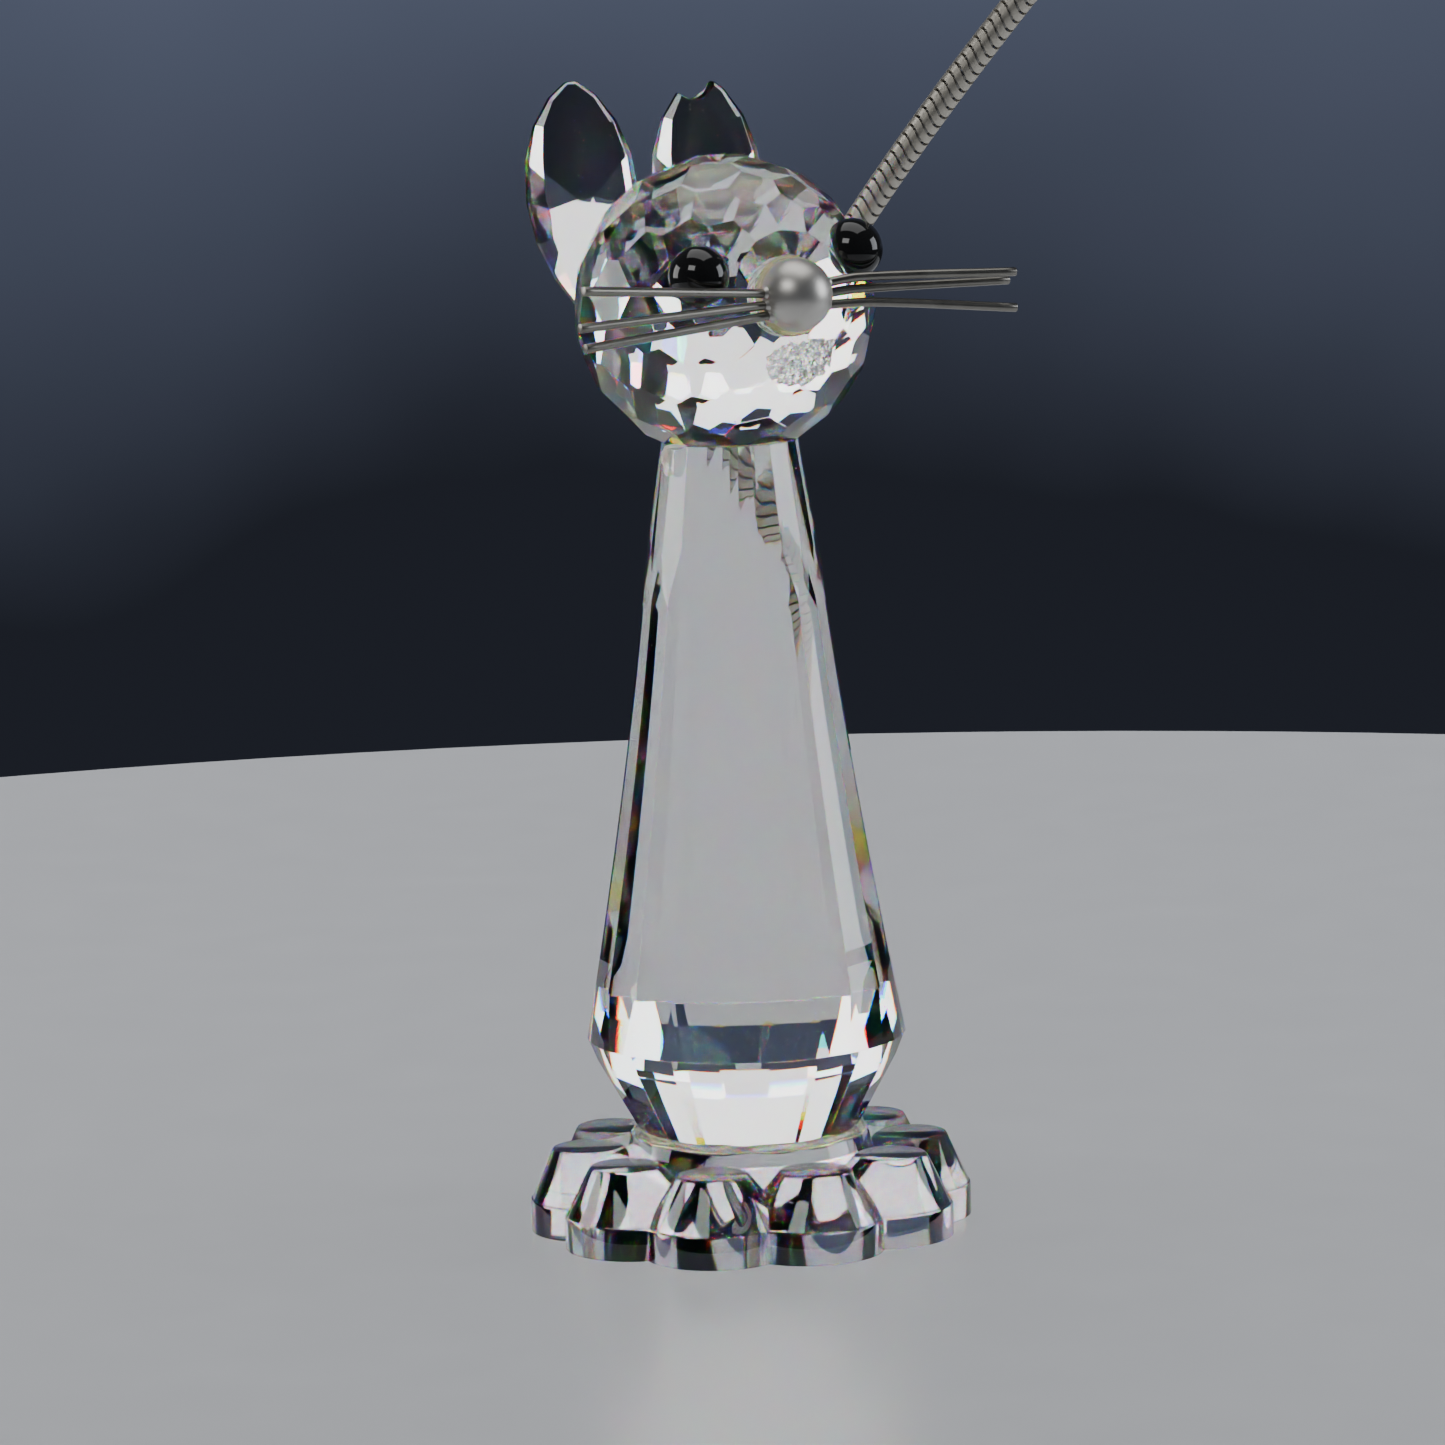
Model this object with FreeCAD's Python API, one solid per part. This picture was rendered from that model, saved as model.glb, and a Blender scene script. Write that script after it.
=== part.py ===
"""Crystal cat figurine: petalled base, cut body, faceted ball head, chain tail.

Millimetres. The origin is the centre of the flat underside, +Z is up, the body's
front is -Y and the tail stands on the +Y side. The head is turned towards +X.
Left and right are as a person facing the cat sees them.
"""
import FreeCAD, Part
import math
import os

os.makedirs("parts", exist_ok=True)

# ---- base: ten pressed petals round a central boss -------------------------------
PETALS = 10
FIRST_PETAL = -12.0            # degrees from the front, positive towards +X
RIM_CENTRE = 15.0              # from the axis to the centre of each petal's rim
RIM_RADIUS = 7.25
RIM_HEIGHT = 3.3
LEDGE = 0.2                    # step between the rim and the slope above it
CROWN_CENTRE = 16.4            # the same for the flat crown of each petal
CROWN_RADIUS = 3.5
CROWN_HEIGHT = 8.35
BOSS_FOOT_RADIUS = 15.0
BOSS_RADIUS = 11.9
BOSS_HEIGHT = 9.35

# ---- body: a tall cut drop, twenty facets round -----------------------------------
SIDES = 20
STEP = 360.0 / SIDES
GLUE_GAP = 0.3
BODY_FOOT = (BOSS_HEIGHT + GLUE_GAP, 10.9)       # height, corner radius
BODY_SHOULDER = (17.2, 15.1)
BODY_GIRDLE = (19.3, 15.95)
BODY_BELT = (25.8, 14.95)
BODY_BULGE = 16.15             # corner radius at the girdle before the belt is cut
BODY_TOP = (79.05, 7.72)
FLARE_POWER = 1.32             # how fast the long facets open out towards the foot
FLARE_RINGS = 6

# ---- head: a faceted ball that looks along its own nose axis -----------------------
HEAD_RADIUS = 15.0
HEAD_CENTRE = FreeCAD.Vector(-0.1, 0.0, 92.4)
HEAD_YAW = 30.3
HEAD_PITCH = 7.5
HEAD_ROLL = 5.5
FACET_DEPTH = 14.62            # from the centre to each small facet
TABLE_DEPTH = 13.4             # from the centre to the front and rear flats
FACETS_ROUND = 14
FACET_RINGS = [34.0, 46.0, 62.0, 78.0, 94.0, 110.0, 126.0, 142.0, 154.0]
NECK_GLUE = 0.15

# ---- face --------------------------------------------------------------------------
EYE_RADIUS = 3.0
# each eye: distance from the head's centre, degrees to the side and up from the nose axis
EYES = {"left": (15.4, -36.8, 13.0), "right": (14.9, 36.6, 13.0)}
NOSE_RADIUS = 3.6
NOSE_DISTANCE = 14.2
RECESS_RADIUS = 3.9
RECESS_FLOOR = 10.2
RECESS_TIP = 9.0
NOSE_GLUE_PROUD = 0.15
WIRE_RADIUS = 0.45
WIRE_BEND = 12.0

# each wire: points in the head's own frame (across, up, forward)
WHISKERS = {
    "whisker_left_upper": [(-2.4, 0.5, 14.3), (-25.3, 4.1, 18.9)],
    "whisker_left_middle": [(-2.4, -0.5, 14.2), (-26.0, 0.7, 18.2)],
    "whisker_left_lower": [(-2.4, -1.5, 14.1), (-25.4, -1.3, 17.4)],
    "whisker_right_upper": [(2.4, 0.6, 14.4), (6.9, 0.6, 14.9), (23.7, -1.7, 16.4)],
    "whisker_right_middle": [(2.4, -0.4, 14.2), (6.6, -0.5, 14.3), (23.7, -2.4, 14.8)],
    "whisker_right_lower": [(2.4, -1.4, 14.1), (8.5, -2.1, 14.4), (23.8, -5.2, 15.2)],
}

# ---- ears: flat faceted pendants glued to ground seats on the back of the head ------
EAR_HALF_LENGTH = 11.9
EAR_HALF_WIDTH = 6.25
EAR_THICKNESS = 4.5
EAR_SIDES = 18
EAR_EDGE = 0.6                 # height of the flat edge round the ear
EAR_PLACES = {"left": (-6.3, 12.8, -13.6), "right": (8.0, 11.3, -13.6)}
EAR_LEAN = {"left": -4.5, "right": -6.5}
EAR_TABLES = 7                 # broad facets that meet at the middle of each face
EAR_TABLE_TILT = 9.5
EAR_SEAT_DEPTH = 14.2
EAR_GLUE = 0.15
CHIP_PLACE = (-1.0, 11.9, 0.5)
CHIP_RADIUS = 2.6

# ---- tail: a snake chain on a soft wire core ----------------------------------------
TAIL_POLES = [(-7.3, 16.4, 9.0), (-7.3, 17.1, 31.0), (-14.0, 18.8, 60.3), (-1.3, 18.3, 85.9),
              (41.8, 9.5, 135.1)]
TAIL_RADIUS = 1.6
CORE_RADIUS = 0.9
LINK_BORE = 0.93
LINK_PITCH = 1.1
LINK_GAP = 0.3
LINK_CHAMFER = 0.15
LINKS_PER_GROUP = 10
GROUPS = 12
CHAIN_START = 3.6              # along the tail's line, from its root to the first joint
FERRULE_RADIUS = 2.1
PEG_RADIUS = 1.1
PEG_LENGTH = 4.5
TIP_LENGTH = 4.2

V = FreeCAD.Vector
SPAN = 80.0                    # larger than any single piece, for cutting blocks


def polar(radius, azimuth, height):
    """A point at an azimuth counted from the front, positive towards +X."""
    angle = math.radians(azimuth)
    return V(radius * math.sin(angle), -radius * math.cos(angle), height)


def save(name, shape):
    """Write one piece to its own STEP file."""
    shape.exportStep(os.path.join("parts", name + ".step"))
    print(f"{name:24s} {shape.Volume:10.2f} mm3, solids {len(shape.Solids)}")


def polygon(points):
    """A closed wire through the points."""
    return Part.makePolygon(list(points) + [points[0]])


def ring(height, radius):
    """The body's corner ring at a height, with a facet facing the front."""
    return polygon([polar(radius, STEP * (k + 0.5), height) for k in range(SIDES)])


def cutting_block(point, normal):
    """A large block that fills the side of a plane that its normal points to."""
    block = Part.makeBox(SPAN, SPAN, SPAN, V(-SPAN / 2, -SPAN / 2, 0))
    block.Placement = FreeCAD.Placement(point, FreeCAD.Rotation(V(0, 0, 1), normal))
    return block


def trim(shape, planes):
    """Cut away what lies outside each plane, given as (point, outward normal)."""
    for point, normal in planes:
        shape = shape.cut(cutting_block(point, normal))
    return shape


def head_frame():
    """The head's placement: x across to the right, y up and z out through the nose."""
    yaw, pitch, roll = (math.radians(a) for a in (HEAD_YAW, HEAD_PITCH, HEAD_ROLL))
    nose = V(math.sin(yaw) * math.cos(pitch), -math.cos(yaw) * math.cos(pitch), math.sin(pitch))
    across = V(math.cos(yaw), math.sin(yaw), 0)
    up = nose.cross(across)
    rolled = across * math.cos(roll) + up * math.sin(roll)
    return FreeCAD.Placement(HEAD_CENTRE, FreeCAD.Rotation(rolled, nose.cross(rolled), nose, "ZXY"))


def in_head(shape):
    """Move a shape from the head's own frame to its place."""
    placed = shape.copy()
    placed.Placement = head_frame().multiply(placed.Placement)
    return placed


# ---- base ------------------------------------------------------------------------------
def petal(azimuth):
    """One petal: an upright rim and an oblique cone up to a small flat crown."""
    up = V(0, 0, 1)
    rim = Part.makeCylinder(RIM_RADIUS, RIM_HEIGHT, polar(RIM_CENTRE, azimuth, 0))
    foot = Part.Wire(Part.Circle(polar(RIM_CENTRE, azimuth, RIM_HEIGHT), up,
                                 RIM_RADIUS - LEDGE).toShape())
    crown = Part.Wire(Part.Circle(polar(CROWN_CENTRE, azimuth, CROWN_HEIGHT), up,
                                  CROWN_RADIUS).toShape())
    slope = Part.makeLoft([foot, crown], True, True)
    return rim.fuse(slope)


def make_base():
    """The pressed crystal rosette with its drilled hole for the tail's peg."""
    boss = Part.makeCone(BOSS_FOOT_RADIUS, BOSS_RADIUS, BOSS_HEIGHT)
    petals = [petal(FIRST_PETAL + 360.0 / PETALS * k) for k in range(PETALS)]
    rosette = boss.fuse(petals).removeSplitter()
    return rosette.cut(tail_peg())


def make_base_adhesive():
    """The layer of glue that carries the body, a little wider than its foot."""
    height, radius = BODY_FOOT
    return Part.makeCylinder(radius + 0.5, GLUE_GAP, V(0, 0, BOSS_HEIGHT))


# ---- body ------------------------------------------------------------------------------
def belt():
    """The planes of the belt, half a step round from the facets above and below."""
    rise = BODY_BELT[0] - BODY_GIRDLE[0]
    run = BODY_BELT[1] - BODY_GIRDLE[1]
    tilt = math.atan2(-run, rise)
    for k in range(SIDES):
        azimuth = STEP * (k + 0.5)
        yield polar(BODY_GIRDLE[1], azimuth, BODY_GIRDLE[0]), polar(math.cos(tilt), azimuth, math.sin(tilt))


def flare(share):
    """A corner ring of the long facets, as a share of the way from the belt to the top."""
    drop = 1.0 - share
    height = BODY_TOP[0] - drop * (BODY_TOP[0] - BODY_BELT[0])
    return height, BODY_TOP[1] + (BODY_BELT[1] - BODY_TOP[1]) * drop ** FLARE_POWER


def make_body():
    """The drop: a lower tier, a staggered belt and long facets that flare towards the foot."""
    lower = Part.makeLoft([ring(*BODY_FOOT), ring(*BODY_SHOULDER), ring(*BODY_GIRDLE)], True, True)
    wide = [(BODY_GIRDLE[0], BODY_BULGE)]
    wide += [flare(k / (FLARE_RINGS - 1)) for k in range(FLARE_RINGS)]
    upper = Part.makeLoft([ring(*section) for section in wide], True, True)
    return trim(lower.fuse(upper), belt()).removeSplitter()


# ---- head ------------------------------------------------------------------------------
def facet_planes():
    """The ball's facets, in staggered rings round the nose axis, and its two flats."""
    yield V(0, 0, TABLE_DEPTH), V(0, 0, 1)
    yield V(0, 0, -TABLE_DEPTH), V(0, 0, -1)
    for row, angle in enumerate(FACET_RINGS):
        polar_angle = math.radians(angle)
        for k in range(FACETS_ROUND):
            turn = 2 * math.pi * (k + row % 2 / 2) / FACETS_ROUND
            normal = V(math.sin(polar_angle) * math.cos(turn), math.sin(polar_angle) * math.sin(turn),
                       math.cos(polar_angle))
            yield normal * FACET_DEPTH, normal


def eye_centre(side):
    """An eye bead's centre in the head's own frame."""
    distance, across, rise = EYES[side]
    across = math.radians(across)
    rise = math.radians(rise)
    return V(math.sin(across) * math.cos(rise), math.sin(rise),
             math.cos(across) * math.cos(rise)) * distance


def recess():
    """The drilled nose recess with its conical floor."""
    bore = Part.makeCylinder(RECESS_RADIUS, TABLE_DEPTH + NOSE_GLUE_PROUD - RECESS_FLOOR,
                             V(0, 0, RECESS_FLOOR))
    drill_point = Part.makeCone(0, RECESS_RADIUS, RECESS_FLOOR - RECESS_TIP, V(0, 0, RECESS_TIP))
    return bore.fuse(drill_point)


def nose_sphere():
    """The nose ball in the head's own frame."""
    return Part.makeSphere(NOSE_RADIUS, V(0, 0, NOSE_DISTANCE))


def eye_sphere(side):
    """An eye bead in the head's own frame."""
    return Part.makeSphere(EYE_RADIUS, eye_centre(side))


def neck_plane():
    """The top of the neck glue, where the head's ground flat lies, and the way down."""
    return V(0, 0, BODY_TOP[0] + NECK_GLUE), V(0, 0, -1)


def make_head():
    """The faceted ball with its neck flat, recess, eye dimples and ear seats."""
    blank = Part.makeBox(2 * HEAD_RADIUS, 2 * HEAD_RADIUS, 2 * HEAD_RADIUS,
                         V(-HEAD_RADIUS, -HEAD_RADIUS, -HEAD_RADIUS))
    ball = trim(blank, facet_planes())
    for side in EAR_PLACES:
        ball = trim(ball, [ear_seat(side, 0.0)])
    ball = ball.cut(recess()).cut(eye_sphere("left")).cut(eye_sphere("right"))
    return trim(in_head(ball), [neck_plane()])


def make_neck_adhesive():
    """A thin disc of glue between the body's top and the head's flat."""
    top = BODY_TOP[0]
    drop = HEAD_CENTRE.z - top - NECK_GLUE
    radius = math.sqrt(FACET_DEPTH ** 2 - drop ** 2)
    return Part.makeCylinder(radius, NECK_GLUE, V(HEAD_CENTRE.x, HEAD_CENTRE.y, top))


# ---- ears ------------------------------------------------------------------------------
def ear_outline():
    """Corners of the ear's outline, a leaf that is widest just above its middle."""
    corners = []
    for k in range(EAR_SIDES):
        angle = 2 * math.pi * (k + 0.5) / EAR_SIDES
        spread = abs(math.sin(angle)) ** 1.4 * (1 + 0.1 * math.cos(angle))
        corners.append(V(math.copysign(EAR_HALF_WIDTH * spread, math.sin(angle)),
                         EAR_HALF_LENGTH * math.cos(angle), 0))
    return corners


def ear_planes(face):
    """Main, star and table facets on one face of the ear; face is 1 for front and -1 for back."""
    corners = ear_outline()
    for k, corner in enumerate(corners):
        following = corners[(k + 1) % EAR_SIDES]
        preceding = corners[k - 1]
        for start, end, depth, rise, tilt in ((corner, following, 0.0, EAR_EDGE / 2, 40.0),
                                              (preceding, following, 1.0, 1.35, 22.0)):
            along = (end - start).normalize()
            outward = V(-along.y, along.x, 0)
            middle = (corner + following) * 0.5 if depth == 0.0 else corner
            point = middle - outward * depth + V(0, 0, rise * face)
            lean = math.radians(tilt)
            yield point, outward * math.sin(lean) + V(0, 0, face * math.cos(lean))
    lean = math.radians(EAR_TABLE_TILT)
    for k in range(EAR_TABLES):
        turn = 2 * math.pi * (k + 0.5) / EAR_TABLES
        outward = V(math.sin(turn), math.cos(turn), 0)
        yield (V(0, 0, face * EAR_THICKNESS / 2),
               outward * math.sin(lean) + V(0, 0, face * math.cos(lean)))


def whole_ear(side):
    """The faceted pendant in the head's own frame, before its foot is ground."""
    outline = Part.Face(polygon([c + V(0, 0, -EAR_THICKNESS / 2) for c in ear_outline()]))
    ear = outline.extrude(V(0, 0, EAR_THICKNESS))
    for face in (1, -1):
        ear = trim(ear, ear_planes(face))
    if side == "right":
        ear = ear.cut(Part.makeSphere(CHIP_RADIUS, V(*CHIP_PLACE)))
    ear.Placement = FreeCAD.Placement(V(*EAR_PLACES[side]),
                                      FreeCAD.Rotation(V(0, 0, 1), EAR_LEAN[side]))
    return ear


def ear_seat(side, gap):
    """The ground flat that an ear is glued to, as a plane facing out of the ball."""
    across = EAR_PLACES[side][0]
    outward = V(across * 0.85, 4.5, -12.0).normalize()
    return outward * (EAR_SEAT_DEPTH + gap), outward


def ear_foot_block(side, gap):
    """The space inside the seat plane, which the ear's ground foot stays out of."""
    point, outward = ear_seat(side, gap)
    return cutting_block(point, outward * -1)


def make_ear(side):
    """An ear with its foot ground flat to stand on its seat's glue."""
    return in_head(whole_ear(side).cut(ear_foot_block(side, EAR_GLUE)))


def make_ear_adhesive(side):
    """The glue between an ear's ground foot and its seat on the ball."""
    point, outward = ear_seat(side, 0.0)
    seat_radius = math.sqrt(FACET_DEPTH ** 2 - EAR_SEAT_DEPTH ** 2)
    disc = Part.makeCylinder(seat_radius, EAR_GLUE, point, outward)
    return in_head(whole_ear(side).common(disc))


# ---- whiskers and nose -----------------------------------------------------------------
def bent_wire(points):
    """A round wire along straight runs with an arc at each bend."""
    points = [V(*p) for p in points]
    edges = []
    start = points[0]
    for before, corner, after in zip(points, points[1:], points[2:]):
        back = (before - corner).normalize()
        ahead = (after - corner).normalize()
        turn = math.pi - back.getAngle(ahead)
        reach = WIRE_BEND * math.tan(turn / 2)
        inward = (back + ahead).normalize()
        sagitta = WIRE_BEND / math.cos(turn / 2) - WIRE_BEND
        entry = corner + back * reach
        leave = corner + ahead * reach
        edges.append(Part.LineSegment(start, entry).toShape())
        edges.append(Part.Arc(entry, corner + inward * sagitta, leave).toShape())
        start = leave
    edges.append(Part.LineSegment(start, points[-1]).toShape())
    path = Part.Wire(edges)
    section = Part.Wire(Part.Circle(points[0], points[1] - points[0], WIRE_RADIUS).toShape())
    return path.makePipeShell([section], True, False)


def make_nose():
    """The nose ball, drilled for the six wires."""
    nose = nose_sphere()
    for points in WHISKERS.values():
        nose = nose.cut(bent_wire(points))
    return in_head(nose)


def make_nose_adhesive():
    """Glue that fills the recess round the nose ball."""
    return in_head(recess().cut(nose_sphere()))


# ---- tail ------------------------------------------------------------------------------
def tail_curve():
    """The line that the tail follows at rest."""
    curve = Part.BezierCurve()
    curve.setPoles([V(*pole) for pole in TAIL_POLES])
    return curve


def tail_place(distance):
    """A placement on the tail's line at a distance from its root, +Z along the tail."""
    curve = tail_curve()
    parameter = curve.parameterAtDistance(distance, 0.0)
    heading = curve.tangent(parameter)[0]
    return FreeCAD.Placement(curve.value(parameter), FreeCAD.Rotation(V(0, 0, 1), heading))


def placed(shape, distance):
    """A copy of a shape at a distance along the tail."""
    moved = shape.copy()
    moved.Placement = tail_place(distance)
    return moved


def tail_peg():
    """The peg that holds the ferrule in the base."""
    top = CROWN_HEIGHT
    foot = V(TAIL_POLES[0][0], TAIL_POLES[0][1], top - PEG_LENGTH)
    return Part.makeCylinder(PEG_RADIUS, PEG_LENGTH, foot)


def make_ferrule():
    """The cup at the tail's root, with its peg, open at the top for the first link."""
    root = V(TAIL_POLES[0][0], TAIL_POLES[0][1], CROWN_HEIGHT)
    height = TAIL_POLES[0][2] + CHAIN_START - CROWN_HEIGHT - LINK_GAP / 2
    cup = Part.makeCylinder(FERRULE_RADIUS, height, root)
    cup = cup.makeChamfer(0.4, [e for e in cup.Edges if e.BoundBox.ZMin > root.z + height / 2])
    return cup.fuse(tail_peg())


def make_link():
    """One ring of the chain at the origin, with its outer edges eased."""
    height = LINK_PITCH - LINK_GAP
    disc = Part.makeCylinder(TAIL_RADIUS, height, V(0, 0, -height / 2))
    rims = [e for e in disc.Edges if abs(e.BoundBox.ZLength) < 0.01]
    disc = disc.makeChamfer(LINK_CHAMFER, rims)
    return disc.cut(Part.makeCylinder(LINK_BORE, 2 * height, V(0, 0, -height)))


def group_start(group):
    """Where a group of links begins, at its joint, along the tail's line."""
    return CHAIN_START + LINKS_PER_GROUP * LINK_PITCH * group


def make_core(group):
    """The wire core inside one group of links, lofted through a circle at each link's end."""
    start = group_start(group)
    ends = [start + k * LINK_PITCH for k in range(LINKS_PER_GROUP + 1)]
    ends[0] += LINK_GAP / 2
    ends[-1] -= LINK_GAP / 2
    circle = Part.Wire(Part.Circle(V(0, 0, 0), V(0, 0, 1), CORE_RADIUS).toShape())
    return Part.makeLoft([placed(circle, end) for end in ends], True, True)


def make_links(group):
    """One group of separate links."""
    start = group_start(group)
    link = make_link()
    return Part.makeCompound([placed(link, start + (k + 0.5) * LINK_PITCH)
                              for k in range(LINKS_PER_GROUP)])


def make_tip():
    """The closed cap on the tail's end."""
    barrel = Part.makeCylinder(TAIL_RADIUS, TIP_LENGTH - TAIL_RADIUS)
    dome = Part.makeSphere(TAIL_RADIUS, V(0, 0, TIP_LENGTH - TAIL_RADIUS))
    return placed(barrel.fuse(dome).removeSplitter(), group_start(GROUPS) - LINK_GAP / 2)


def main():
    """Build and write every piece."""
    save("base_rosette", make_base())
    save("base_adhesive", make_base_adhesive())
    save("body_drop", make_body())
    save("neck_adhesive", make_neck_adhesive())
    save("head_ball", make_head())
    save("nose_adhesive", make_nose_adhesive())
    save("nose_ball", make_nose())
    for name, points in WHISKERS.items():
        save(name, in_head(bent_wire(points)))
    for side in EYES:
        save("eye_" + side, in_head(eye_sphere(side)))
        save("ear_" + side, make_ear(side))
        save("ear_adhesive_" + side, make_ear_adhesive(side))
    save("tail_ferrule", make_ferrule())
    for group in range(GROUPS):
        save(f"tail_links_{group + 1:02d}", make_links(group))
        save(f"tail_core_{group + 1:02d}", make_core(group))
    save("tail_tip_cap", make_tip())


main()
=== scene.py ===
"""Crystal cat figurine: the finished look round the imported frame.

Metres, in the frame's own axes: the origin is the centre of the base's underside, +Z is
up and the body's front is -Y. Left and right are as a person facing the cat sees them.
"""
import logging
import math
from dataclasses import dataclass, field
from enum import Enum
from typing import Callable, Iterable, Iterator, Sequence

import bpy
from mathutils import Matrix, Vector


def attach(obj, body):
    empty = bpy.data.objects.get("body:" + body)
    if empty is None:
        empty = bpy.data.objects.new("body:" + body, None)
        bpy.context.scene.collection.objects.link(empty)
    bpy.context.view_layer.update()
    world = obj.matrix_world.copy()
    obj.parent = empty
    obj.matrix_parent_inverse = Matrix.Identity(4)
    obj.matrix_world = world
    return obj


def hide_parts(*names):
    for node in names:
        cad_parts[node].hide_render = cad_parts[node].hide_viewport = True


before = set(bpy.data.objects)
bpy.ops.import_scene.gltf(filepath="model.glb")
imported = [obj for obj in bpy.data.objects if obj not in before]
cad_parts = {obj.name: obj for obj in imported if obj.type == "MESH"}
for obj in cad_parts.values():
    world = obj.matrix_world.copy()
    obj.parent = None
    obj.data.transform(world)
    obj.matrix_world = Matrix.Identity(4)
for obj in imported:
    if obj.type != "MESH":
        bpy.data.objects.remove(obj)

log = logging.getLogger("cat")
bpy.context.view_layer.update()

MM = 0.001
BODY = "figure"
MERGE = 0.0002 * MM            # points nearer than this are one
CONTACT = 0.02 * MM            # glued faces run into each other by this much, with no film of air


# ---- shader expressions ------------------------------------------------------------------
class Signal:
    """A value socket in a node tree, on which arithmetic adds Math nodes."""

    def __init__(self, book: "NodeBook", socket: bpy.types.NodeSocket) -> None:
        """Wrap one output socket of a tree."""
        self.book = book
        self.socket = socket

    def _math(self, operation: str, *values: object) -> "Signal":
        """Add a Math node for an operation on these values."""
        return self.book.add("ShaderNodeMath", {"operation": operation}, *values)

    def __add__(self, other: object) -> "Signal":
        """Sum."""
        return self._math("ADD", self, other)

    __radd__ = __add__

    def __mul__(self, other: object) -> "Signal":
        """Product."""
        return self._math("MULTIPLY", self, other)

    __rmul__ = __mul__


class NodeBook:
    """One material's node tree, with a single method that adds any node to it."""

    def __init__(self, name: str) -> None:
        """Start an empty material.

        Args:
            name: The material's name.
        """
        self.material = bpy.data.materials.new(name)
        self.material.use_nodes = True
        self.tree = self.material.node_tree
        self.tree.nodes.clear()
        self.output = self.tree.nodes.new("ShaderNodeOutputMaterial")

    def add(self, kind: str, settings: dict | None = None, *values: object, out: int = 0,
            **named: object) -> Signal:
        """Add a node, set it up and feed its sockets.

        Args:
            kind: The node's type.
            settings: Attributes to set first; "ramp" gives a colour ramp's stops.
            values: Numbers or signals for the sockets, in order.
            out: Which output to return.
            named: Numbers, colours or signals for sockets by name, spaces as underscores.

        Returns:
            The chosen output as a signal.
        """
        node = self.tree.nodes.new(kind)
        for key, value in (settings or {}).items():
            if key == "ramp":
                self._ramp(node, value)
            else:
                setattr(node, key, value)
        sockets = list(zip(node.inputs, values))
        sockets += [(node.inputs[key.replace("_", " ")], value) for key, value in named.items()]
        for socket, value in sockets:
            if isinstance(value, Signal):
                self.tree.links.new(value.socket, socket)
            else:
                socket.default_value = value
        return Signal(self, node.outputs[out])

    @staticmethod
    def _ramp(node: bpy.types.Node, stops: Sequence[tuple[float, tuple]]) -> None:
        """Set a colour ramp's stops.

        Args:
            node: The ramp node.
            stops: Positions, each with its colour.
        """
        elements = node.color_ramp.elements
        while len(elements) < len(stops):
            elements.new(0.5)
        for element, (position, colour) in zip(elements, stops):
            element.position = position
            element.color = colour

    def place(self) -> Signal:
        """The point being shaded, in the frame's axes and metres."""
        return self.add("ShaderNodeTexCoord", None, out=3)

    def noise(self, size: float, detail: float = 3.0, roughness: float = 0.5) -> Signal:
        """Soft noise whose blotches are about a given size in metres."""
        return self.add("ShaderNodeTexNoise", None, Vector=self.place(), Scale=1.0 / size,
                        Detail=detail, Roughness=roughness)

    def bump(self, height: Signal, strength: float, distance: float) -> Signal:
        """A normal bent by a height signal."""
        return self.add("ShaderNodeBump", None, Height=height, Strength=strength, Distance=distance)

    def dust(self, spacing: float) -> Signal:
        """A mask of sparse specks of dust, mostly nought.

        Args:
            spacing: How far apart the cells that may hold a speck are.

        Returns:
            The mask as a signal.
        """
        cells = self.add("ShaderNodeTexVoronoi", None, Vector=self.place(), Scale=1.0 / spacing)
        return self.add("ShaderNodeValToRGB", {"ramp": [(0.028, (0.5, 0.5, 0.5, 1.0)),
                                                        (0.04, (0.0, 0.0, 0.0, 1.0))]}, cells)

    def between(self, share: Signal, low: tuple, high: tuple) -> Signal:
        """A colour between two, by a share."""
        return self.add("ShaderNodeValToRGB", {"ramp": [(0.0, low), (1.0, high)]}, share)

    def finish(self, shader: Signal) -> bpy.types.Material:
        """Connect the final shader.

        Returns:
            The finished material.
        """
        self.tree.links.new(shader.socket, self.output.inputs["Surface"])
        return self.material


# ---- finishes ----------------------------------------------------------------------------
@dataclass(frozen=True)
class Crystal:
    """Polished lead crystal, which spreads white light into colours."""

    name: str = "cut_crystal"
    index: float = 1.555
    spread: float = 0.005
    roughness: float = 0.0

    def make(self) -> bpy.types.Material:
        """One glass shader per primary, each with its own index, added together.

        Returns:
            The material.
        """
        book = NodeBook(self.name)
        smears = book.noise(3.0 * MM, 4.0)
        normal = book.bump(smears, 0.008, 0.05 * MM)
        primaries = ((1.0, 0.0, 0.0, 1.0), (0.0, 1.0, 0.0, 1.0), (0.0, 0.0, 1.0, 1.0))
        shaders = []
        for step, primary in enumerate(primaries):
            shaders.append(book.add("ShaderNodeBsdfGlass", None, Color=primary, Roughness=self.roughness,
                                    IOR=self.index + (step - 1) * self.spread, Normal=normal))
        warm = book.add("ShaderNodeAddShader", None, shaders[1], shaders[0])
        clear = book.add("ShaderNodeAddShader", None, warm, shaders[2])
        lint = book.add("ShaderNodeBsdfPrincipled", None, Base_Color=(0.80, 0.79, 0.76, 1.0),
                        Roughness=0.9)
        return book.finish(book.add("ShaderNodeMixShader", None, book.dust(1.5 * MM), clear, lint))


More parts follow.
